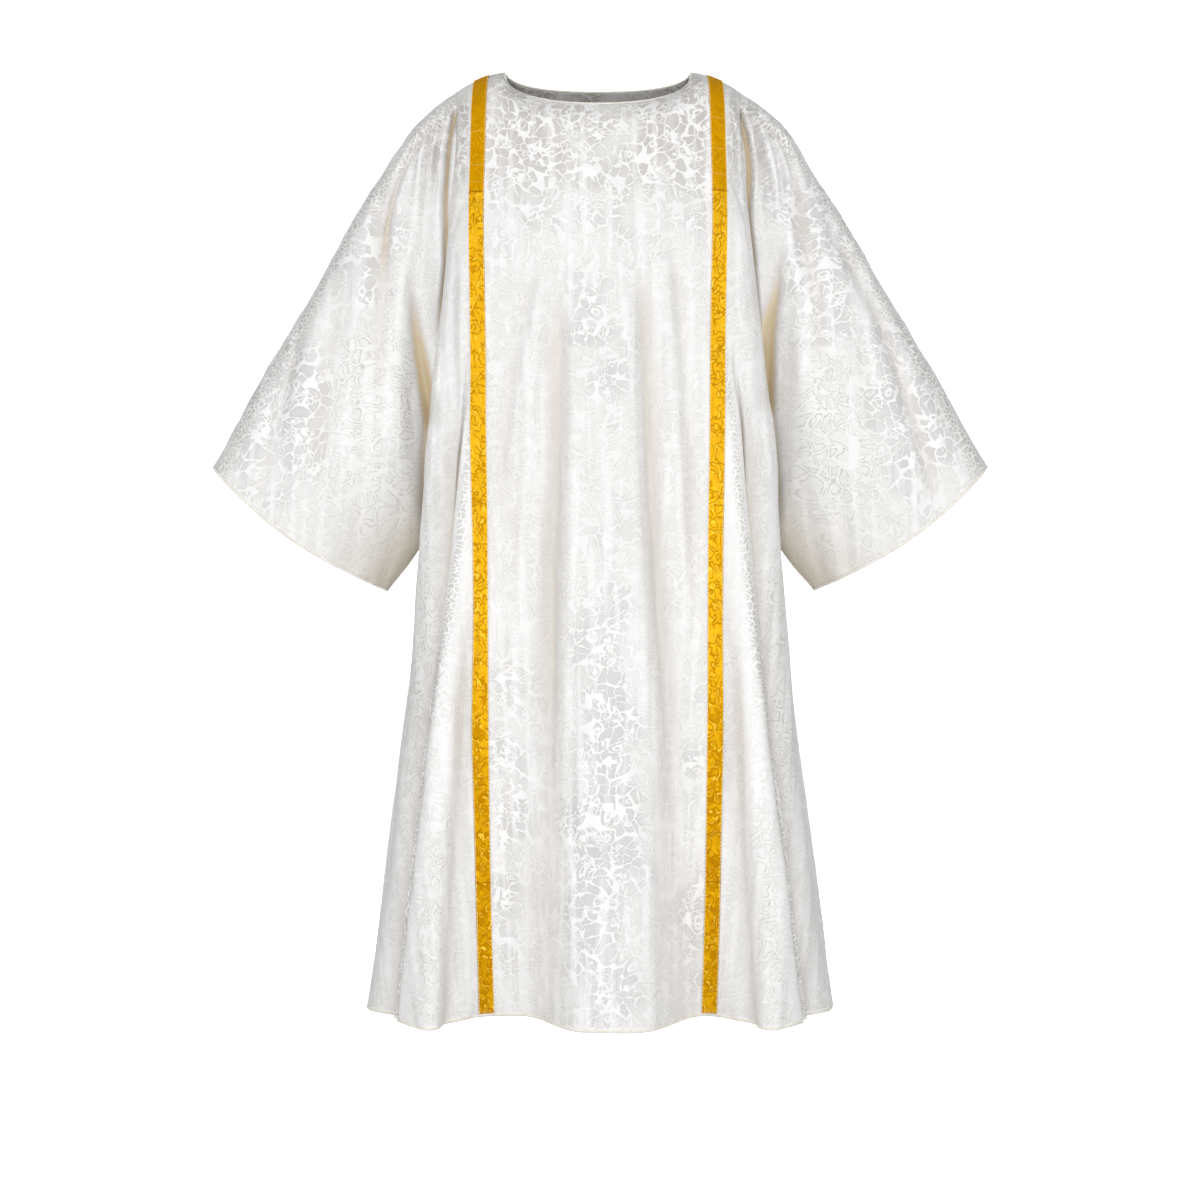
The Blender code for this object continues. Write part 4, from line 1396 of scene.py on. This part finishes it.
def fold_share(folds):
    """1 at the bottom of a deep fold, negative on a ridge; the finish paints shade and highlight
    from it.
    """
    return np.clip(-folds / DEEP_FOLD, -1.0, 1.0)


print("lively spots:", {where: len(spots) for where, spots in SHEEN_SPOTS.items()})

# %% [markdown]
# ## The cloth pieces
# Front, back and sleeves replace the four plain walls.  Each is printed with the length of its
# hem or of its armhole and cuff, and with the area of its outer face.
# %% Front and back cloth
def area_of(grid):
    """Area of a grid's outer face."""
    a = grid[1:, 1:] - grid[:-1, :-1]
    b = grid[1:, :-1] - grid[:-1, 1:]
    return float(np.linalg.norm(np.cross(a, b), axis=2).sum() / 2)


def report(name, **measures):
    print(name, ", ".join(f"{what} {value:.3f}" for what, value in measures.items()))


WEAVE_START = {"front": 0.0, "back": 3.0}      # the two are cut from different lengths
cloth_pieces = {}
for panel in FACING:
    name = panel + "_cloth"
    grid, lifts = panel_points[panel], panel_lifts[panel]
    weave = panel_cloth[panel] + np.array((WEAVE_START[panel], 0.0))
    numbers = {"fold": fold_share(panel_folds[panel]), "painted_sheen": painted_sheen(panel, grid),
               "turned": panel_turn_shade[panel], "under": 0 * panel_turn_shade[panel]}
    mesh = shell(name, grid, grid - lifts * CLOTH, weave, numbers)
    cloth_pieces[panel] = add_piece(name, mesh, damask, [panel + "_panel"])
    report(name, hem=run_along(grid[-1])[-1], area=area_of(grid))

# %% Sleeve cloth
for side in SIDE:
    name = "sleeve_" + side
    low = sleeve_points[side].shape[1] // 2
    rings, lifts, folds, turned, under = (
        np.roll(grids[side], -low, axis=1) for grids in
        (sleeve_points, sleeve_lifts, sleeve_folds, sleeve_turn_shade, sleeve_underarm_shade))
    numbers = {"fold": fold_share(folds), "painted_sheen": painted_sheen(name, rings), "turned": turned,
               "under": under}
    mesh = shell(name + "_cloth", rings, rings - lifts * CLOTH, sleeve_weaves[side], numbers,
                 closed=True)
    cloth_pieces[name] = add_piece(name + "_cloth", mesh, damask, [name])
    whole = np.concatenate((rings, rings[:, :1]), axis=1)
    report(name, armhole=run_along(whole[0])[-1], cuff=run_along(whole[-1])[-1],
           area=area_of(whole))

# %% [markdown]
# ## Gold bands
# A band is laid on the panel's own points and moved out, so it follows every fold.  It is
# stitched down along both edges, which makes the cloth between pucker in small uneven waves.
# The braid is pieced: a short length covers the shoulder and another ends at the hem.
# %% Band shape
BAND_FINER = 3            # rows of a band for each row of its panel
PUCKER = 0.00034          # height of the waves between the stitching
PUCKER_WAVES = 9
PUCKER_LENGTHS, PUCKER_SLANT = (0.011, 0.034), 0.9
PUCKER_SWELL = 0.21       # length over which they grow and shrink
JOIN_STEP, JOIN_FADE = 0.0006, 0.006      # the lap where two lengths of braid meet
BAND_LEAST = 0.0004       # thickness that is left in the deepest pucker


def finer_rows(grid, times):
    """More rows, on smooth curves down the columns."""
    knots = np.arange(len(grid))
    places = np.linspace(0, len(grid) - 1, (len(grid) - 1) * times + 1)
    flat = grid.reshape(len(grid), -1)
    columns = [through(knots, flat[:, k], places) for k in range(flat.shape[1])]
    return np.stack(columns, axis=1).reshape((len(places),) + grid.shape[1:])


def band_strip(panel, side):
    start = MIDDLE + INNER if side == "left" else MIDDLE - INNER - BAND
    strip = slice(start, start + BAND + 1)
    points = finer_rows(panel_points[panel][:, strip], BAND_FINER)
    lifts = unit(finer_rows(panel_lifts[panel][:, strip], BAND_FINER))
    across = np.linalg.norm(points - points[:, :1], axis=2)
    down = run_along(points[:, BAND // 2])[:, None] + np.zeros_like(across)
    return points, lifts, across, down


def band_ripple(across, down, seed):
    """Small slanting puckers between the two rows of stitching."""
    random = np.random.default_rng(seed)
    middle = np.sin(math.pi * np.clip(across / BAND_WIDTH, 0, 1)) ** 0.7
    total = np.zeros_like(across)
    for _ in range(PUCKER_WAVES):
        length = random.uniform(*PUCKER_LENGTHS)
        slant = random.uniform(-PUCKER_SLANT, PUCKER_SLANT)
        turn = random.uniform(0, 2 * math.pi)
        total += np.sin(2 * math.pi * (down + slant * across) / length + turn)
    swell = 0.6 + 0.4 * np.sin(2 * math.pi * down / PUCKER_SWELL + seed)
    return PUCKER * middle * total / math.sqrt(PUCKER_WAVES) * swell


print("a band has", len(band_strip("front", "left")[0]), "rows of", BAND + 1, "points")

# %% Make the bands
BAND_SEED = 5
BAND_APART = 0.37         # between the bands' places on the braid's pattern
bands = {}
for order, (panel, side) in enumerate((p, s) for p in FACING for s in SIDE):
    name = panel + "_" + side
    points, lifts, across, down = band_strip(panel, side)
    rise = SEAM_GAP + BAND_THICK + band_ripple(across, down, BAND_SEED + order)
    for join in BAND_JOINS:
        lap = 1 - ease(np.abs(down - join) / JOIN_FADE)
        rise = rise + JOIN_STEP * lap * (down > join)
    low = points + lifts * SEAM_GAP
    high = points + lifts * np.maximum(rise, SEAM_GAP + BAND_LEAST)[..., None]
    cloth = np.stack((across + BAND_APART * order, -down), axis=2)
    mesh = shell("band_" + name, high, low, cloth, {})
    bands[name] = add_piece("band_" + name, mesh, gold, ["orphrey_" + name])
    print("band", name, "is", round(float(down[-1, 0]), 3), "m long")

# %% [markdown]
# ## Rolled edges
# The hem, the cuffs and the neckline end in a narrow roll of cream satin.  Each is a rounded
# cord that follows the very edge of the folded cloth; a flat strip would show a hard corner.
# %% Rolls
ROUND = 10                # points round a roll
ROLL_SWELL = 0.0002       # a little fuller than the plain strip
ROLL_WAVES = ((0.05, 0.021), (0.04, 0.0133))       # share of its height, and length


def roll(name, edge, away, lifts, width, gap, closed, node):
    """Rounded roll past an edge of the cloth."""
    middle = edge + away * (gap + width / 2) - lifts * (CLOTH / 2)
    down = run_along(edge)
    flat, tall = width / 2, CLOTH / 2 + ROLL_PROUD + ROLL_SWELL
    plump = 1 + sum(share * np.sin(2 * math.pi * down / length) for share, length in ROLL_WAVES)
    turn = 2 * math.pi * np.arange(ROUND) / ROUND
    rings = (middle[:, None] + (flat * away)[:, None] * np.cos(turn)[None, :, None]
             + (tall * plump[:, None] * lifts)[:, None] * np.sin(turn)[None, :, None])
    mesh = tube(name, rings, down, closed)
    return add_piece(name, mesh, satin, [node])


def tube(name, rings, down, closed):
    """Mesh of rings of points, capped at both ends unless it is closed on itself."""
    count, around = rings.shape[:2]
    quads = grid_faces(count, around, around=True, along=closed).tolist()
    if not closed:
        first = list(range(around))
        quads += [first, [(count - 1) * around + spot for spot in reversed(first)]]
    mesh = bpy.data.meshes.new(name)
    mesh.from_pydata(rings.reshape(-1, 3), [], quads)
    add_places(mesh, lambda index: (index % around * 0.001, down[index // around]))
    turn_out(mesh, rings[0, 0] - rings[0, around // 2])
    return mesh


def add_places(mesh, place_of):
    """The cloth's coordinates at every corner, from the number of its point."""
    layer = mesh.uv_layers.new(name="cloth")
    for loop, corner in zip(mesh.loops, layer.data):
        corner.uv = place_of(loop.vertex_index)


print("a roll has", ROUND, "points round")

# %% Hem, cuffs and neckline
def hem_edge(panel):
    away = unit(panel_points[panel][-1] - panel_points[panel][-3])
    for edge in (0, -1):
        away[edge, 1] = 0.0
    return panel_points[panel][-1], unit(away), panel_lifts[panel][-1]


def neck_edge():
    """Edge of the neckline, the way towards its middle, and the way the cloth faces."""
    span = slice(MIDDLE - NECK, MIDDLE + NECK + 1)
    ring = joined(panel_points["front"][0, span], panel_points["back"][0, span])
    lifts = np.concatenate((panel_lifts["front"][0, span], panel_lifts["back"][0, span][-2:0:-1]))
    for _ in range(3):
        lifts = unit(np.roll(lifts, 1, axis=0) + 2 * lifts + np.roll(lifts, -1, axis=0))
    around = np.roll(ring, -1, axis=0) - np.roll(ring, 1, axis=0)
    away = unit(np.cross(lifts, around))
    away *= np.sign(np.sum(away * (ring.mean(axis=0) - ring), axis=1))[:, None]
    return ring, away, lifts


rolls = {}
for panel in FACING:
    rolls[panel] = roll("hem_roll_" + panel, *hem_edge(panel), HEM_ROLL, SEAM_GAP, False,
                        "hem_binding_" + panel)
for side in SIDE:
    rings = sleeve_points[side]
    rolls[side] = roll("cuff_roll_" + side, rings[-1], unit(rings[-1] - rings[-3]),
                       sleeve_lifts[side][-1], CUFF_ROLL, SEAM_GAP, True, "cuff_binding_" + side)
rolls["neck"] = roll("neck_roll", *neck_edge(), NECK_ROLL, NECK_GAP, True, "neck_binding")
print(len(rolls), "rolled edges")

# %% [markdown]
# ## Stitches
# Rows of stitches hold the rolls, the bands and the armhole seams.  Each row is one mesh of
# small spindles laid on the cloth; a dashed line in the material would have no thickness.
# %% Stitches
STITCHES = {              # pitch, length, thickness, thread, slot
    "edge": (0.0050, 0.0034, 0.0006, thread, "damask"),
    "armhole": (0.0056, 0.0038, 0.0007, thread, "damask"),
    "neck": (0.0046, 0.0030, 0.0006, thread, "damask"),
    "band": (0.0046, 0.0040, 0.0010, gold_thread, "gold_band"),
    "cross": (0.0036, 0.0028, 0.0006, gold_thread, "gold_band"),
}
STITCH_AROUND = 5
STITCH_RINGS = ((0.22, 0.8), (0.5, 1.0), (0.78, 0.8))      # share of the length, and girth
STITCH_SUNK, STITCH_FLAT = 0.35, 0.8      # a stitch is half sunk in the cloth, and flattened


def stitches(name, kind, line, lifts, closed=False):
    """Spindles along a line of points on the cloth."""
    pitch, length, thick, material, slot = STITCHES[kind]
    if closed:
        line, lifts = np.vstack((line, line[:1])), np.vstack((lifts, lifts[:1]))
    run = run_along(line)
    points, faces = [], []
    turn = 2 * math.pi * np.arange(STITCH_AROUND) / STITCH_AROUND
    for start in np.arange(pitch / 2, run[-1] - length, pitch):
        first = at_run(run, line, start)
        along = unit(at_run(run, line, start + length) - first)
        up = unit(at_run(run, lifts, start + length / 2))
        across = unit(np.cross(along, up))
        faces += spindle_faces(len(points))
        points.append(first)
        for share, girth in STITCH_RINGS:
            middle = (at_run(run, line, start + length * share)
                      + up * thick * STITCH_SUNK * girth)
            points += [middle + thick * girth / 2
                       * (across * math.cos(angle) + up * STITCH_FLAT * math.sin(angle))
                       for angle in turn]
        points.append(at_run(run, line, start + length))
    mesh = bpy.data.meshes.new(name)
    mesh.from_pydata(points, [], faces)
    add_places(mesh, lambda index: (points[index][0] + points[index][1], points[index][2]))
    return add_piece(name, mesh, material, [])


def at_run(run, line, place):
    return np.array([np.interp(place, run, line[:, k]) for k in range(3)])


def spindle_faces(base):
    """Faces of one stitch: a tip, three rings and another tip."""
    n = STITCH_AROUND
    faces = []
    for j in range(n):
        k = (j + 1) % n
        faces.append((base, base + 1 + k, base + 1 + j))
        for ring in (0, 1):
            a = base + 1 + ring * n
            faces.append((a + j, a + k, a + n + k, a + n + j))
        a = base + 1 + 2 * n
        faces.append((a + j, a + k, base + 1 + 3 * n))
    return faces


print("kinds of stitch:", ", ".join(STITCHES))

# %% Rows along the hem, the cuffs, the armholes and the neckline
STITCH_LIFT = 0.0002
HEM_IN, CUFF_IN, NECK_IN = 0.0055, 0.0050, 0.0042     # from the edge to the row of stitches


def row_inside(grid, lifts, back):
    """A line this far back from a grid's last row, along the cloth."""
    share = back / np.linalg.norm(grid[-1] - grid[-2], axis=1)[:, None]
    line = grid[-1] + (grid[-2] - grid[-1]) * share
    return line + lifts[-1] * STITCH_LIFT, lifts[-1]


stitch_rows = {}
for panel in FACING:
    line, lifts = row_inside(panel_points[panel], panel_lifts[panel], HEM_IN)
    stitch_rows[panel] = [stitches("hem_stitches_" + panel, "edge", line, lifts)]
for side in SIDE:
    line, lifts = row_inside(sleeve_points[side], sleeve_lifts[side], CUFF_IN)
    stitch_rows[side] = [stitches("cuff_stitches_" + side, "edge", line, lifts, closed=True)]
for side in SIDE:
    lifts = sleeve_lifts[side][1]
    line = sleeve_points[side][1] + lifts * STITCH_LIFT
    stitch_rows[side].append(stitches("armhole_stitches_" + side, "armhole", line, lifts,
                                      closed=True))
edge, away, lifts = neck_edge()
line = edge - away * NECK_IN + lifts * STITCH_LIFT
stitch_rows["neck"] = [stitches("neck_stitches", "neck", line, lifts, closed=True)]
print("rows of stitches on the damask:", sum(len(rows) for rows in stitch_rows.values()))

# %% Rows along the bands, and across them near the shoulders
CROSS_ROWS = {"right": (0.137, 0.183, 0.206), "left": (0.122, 0.162, 0.196)}
HEM_CROSS = 0.003         # the last row across, from the end of the band
EDGE_IN, EDGE_SUNK, CROSS_LIFT = 0.0004, 0.8, 0.0001
for panel, side in ((p, s) for p in FACING for s in SIDE):
    points, lifts, across, down = band_strip(panel, side)
    name = panel + "_" + side
    rows = []
    for label, k in (("inner", 0), ("outer", BAND)):
        inward = unit(points[:, BAND // 2] - points[:, k])
        line = (points[:, k] + inward * EDGE_IN
                + lifts[:, k] * (SEAM_GAP + BAND_THICK * EDGE_SUNK))
        rows.append(stitches(f"band_stitches_{name}_{label}", "band", line, lifts[:, k]))
    for order, place in enumerate(CROSS_ROWS[side] + (down[-1, 0] - HEM_CROSS,)):
        k = int(np.argmin(np.abs(down[:, 0] - place)))
        line = points[k] + lifts[k] * (SEAM_GAP + BAND_THICK + CROSS_LIFT)
        rows.append(stitches(f"band_cross_{name}_{order}", "cross", line, lifts[k]))
    stitch_rows["band_" + name] = rows
print("rows of stitches:", sum(len(rows) for rows in stitch_rows.values()))

# %% [markdown] ## What goes with each piece
# The front's and back's rolls and rows of stitches are gathered, and the pieces of cloth and braid
# are counted.
for panel in FACING:
    with_panel = [rolls[panel]] + stitch_rows[panel]
    if panel == "front":
        with_panel += [rolls["neck"]] + stitch_rows["neck"]
for side in SIDE:
    cloth_pieces["sleeve_" + side]
for name in bands:
    panel = name.split("_")[0]
    panel + "_cloth"
    stitch_rows["band_" + name]
print("sheets:", len(cloth_pieces) + len(bands))

# %% [markdown]
# ## Floor, backdrop and light
# White cloth on white needs even light, but with enough from the sides to show the folds.
# A small key and a wide wrap stand in front, a lamp on each hand, one above and a weak one
# low down.  Two more light the back, and a little light comes from all round.  The backdrop
# is a wide dome that only the camera sees.
# %% Stage
DOME_RADIUS = 9.0
FLOOR_SHARE = 0.95        # of the dome's radius
FLOOR_LEVEL = -1.52


def glowing_white(name, white):
    """A plain white that shines by itself."""
    colour = (white, white, white, 1.0)
    return Finish(name, Roughness=0.9, Base_Color=colour, Emission_Color=colour,
                  Emission_Strength=1.0).material


bpy.ops.mesh.primitive_uv_sphere_add(segments=64, ring_count=32, radius=DOME_RADIUS,
                                     location=(0, 0, 0))
dome = bpy.context.object
dome.name = "backdrop"
dome.data.materials.append(glowing_white("backdrop_white", 1.0))
dome.visible_diffuse = dome.visible_glossy = dome.visible_shadow = False
dome.visible_transmission = dome.visible_volume_scatter = False
bpy.ops.mesh.primitive_circle_add(vertices=96, radius=DOME_RADIUS * FLOOR_SHARE, fill_type="NGON",
                                  location=(0, 0, FLOOR_LEVEL))
floor = bpy.context.object
floor.name = "floor"
floor.data.materials.append(glowing_white("floor_white", 0.95))
floor.visible_diffuse = floor.visible_glossy = False
print("stage is", 2 * DOME_RADIUS, "m wide")


# %% Lamps
LAMP_COLUMNS = ("name", "place", "size", "power")
LAMPS = (
    ("key", (-0.4, -5.0, 0.0), (1.6, 1.6), 34.0),
    ("wrap", (0.0, -5.0, -0.2), (6.0, 4.0), 61.0),
    ("side_right", (-3.6, -3.0, -0.4), (1.5, 3.0), 67.0),
    ("side_left", (3.6, -3.0, -0.4), (1.5, 3.0), 67.0),
    ("top", (0.0, -2.0, 3.0), (3.0, 2.0), 21.0),
    ("low", (0.0, -3.6, -1.42), (4.0, 0.8), 10.0),
    ("key_back", (0.5, 5.0, 0.0), (1.6, 1.6), 60.0),
    ("wrap_back", (0.0, 5.0, -0.2), (6.0, 4.0), 88.0),
)
AIM = (0.0, 0.0, -0.6)
ALL_ROUND = 0.33


def lamp(name, place, size, power):
    """A rectangular lamp that looks at the middle of the robe."""
    data = bpy.data.lights.new(name, "AREA")
    data.shape = "RECTANGLE"
    data.size, data.size_y = size
    data.energy = power
    made = bpy.data.objects.new(name, data)
    made.location = place
    away = np.array(place) - np.array(AIM)
    made.rotation_euler = (math.acos(away[2] / np.linalg.norm(away)), 0.0,
                           math.atan2(away[1], away[0]) + math.pi / 2)
    bpy.context.scene.collection.objects.link(made)


for row in LAMPS:
    lamp(**dict(zip(LAMP_COLUMNS, row)))
world = bpy.data.worlds.new("soft_room")
world.use_nodes = True
background = world.node_tree.nodes["Background"]
background.inputs["Color"].default_value = (1.0, 1.0, 1.0, 1.0)
background.inputs["Strength"].default_value = ALL_ROUND
bpy.context.scene.world = world
bpy.context.scene.view_settings.view_transform = "Standard"
print("lamps:", len(bpy.data.lights))
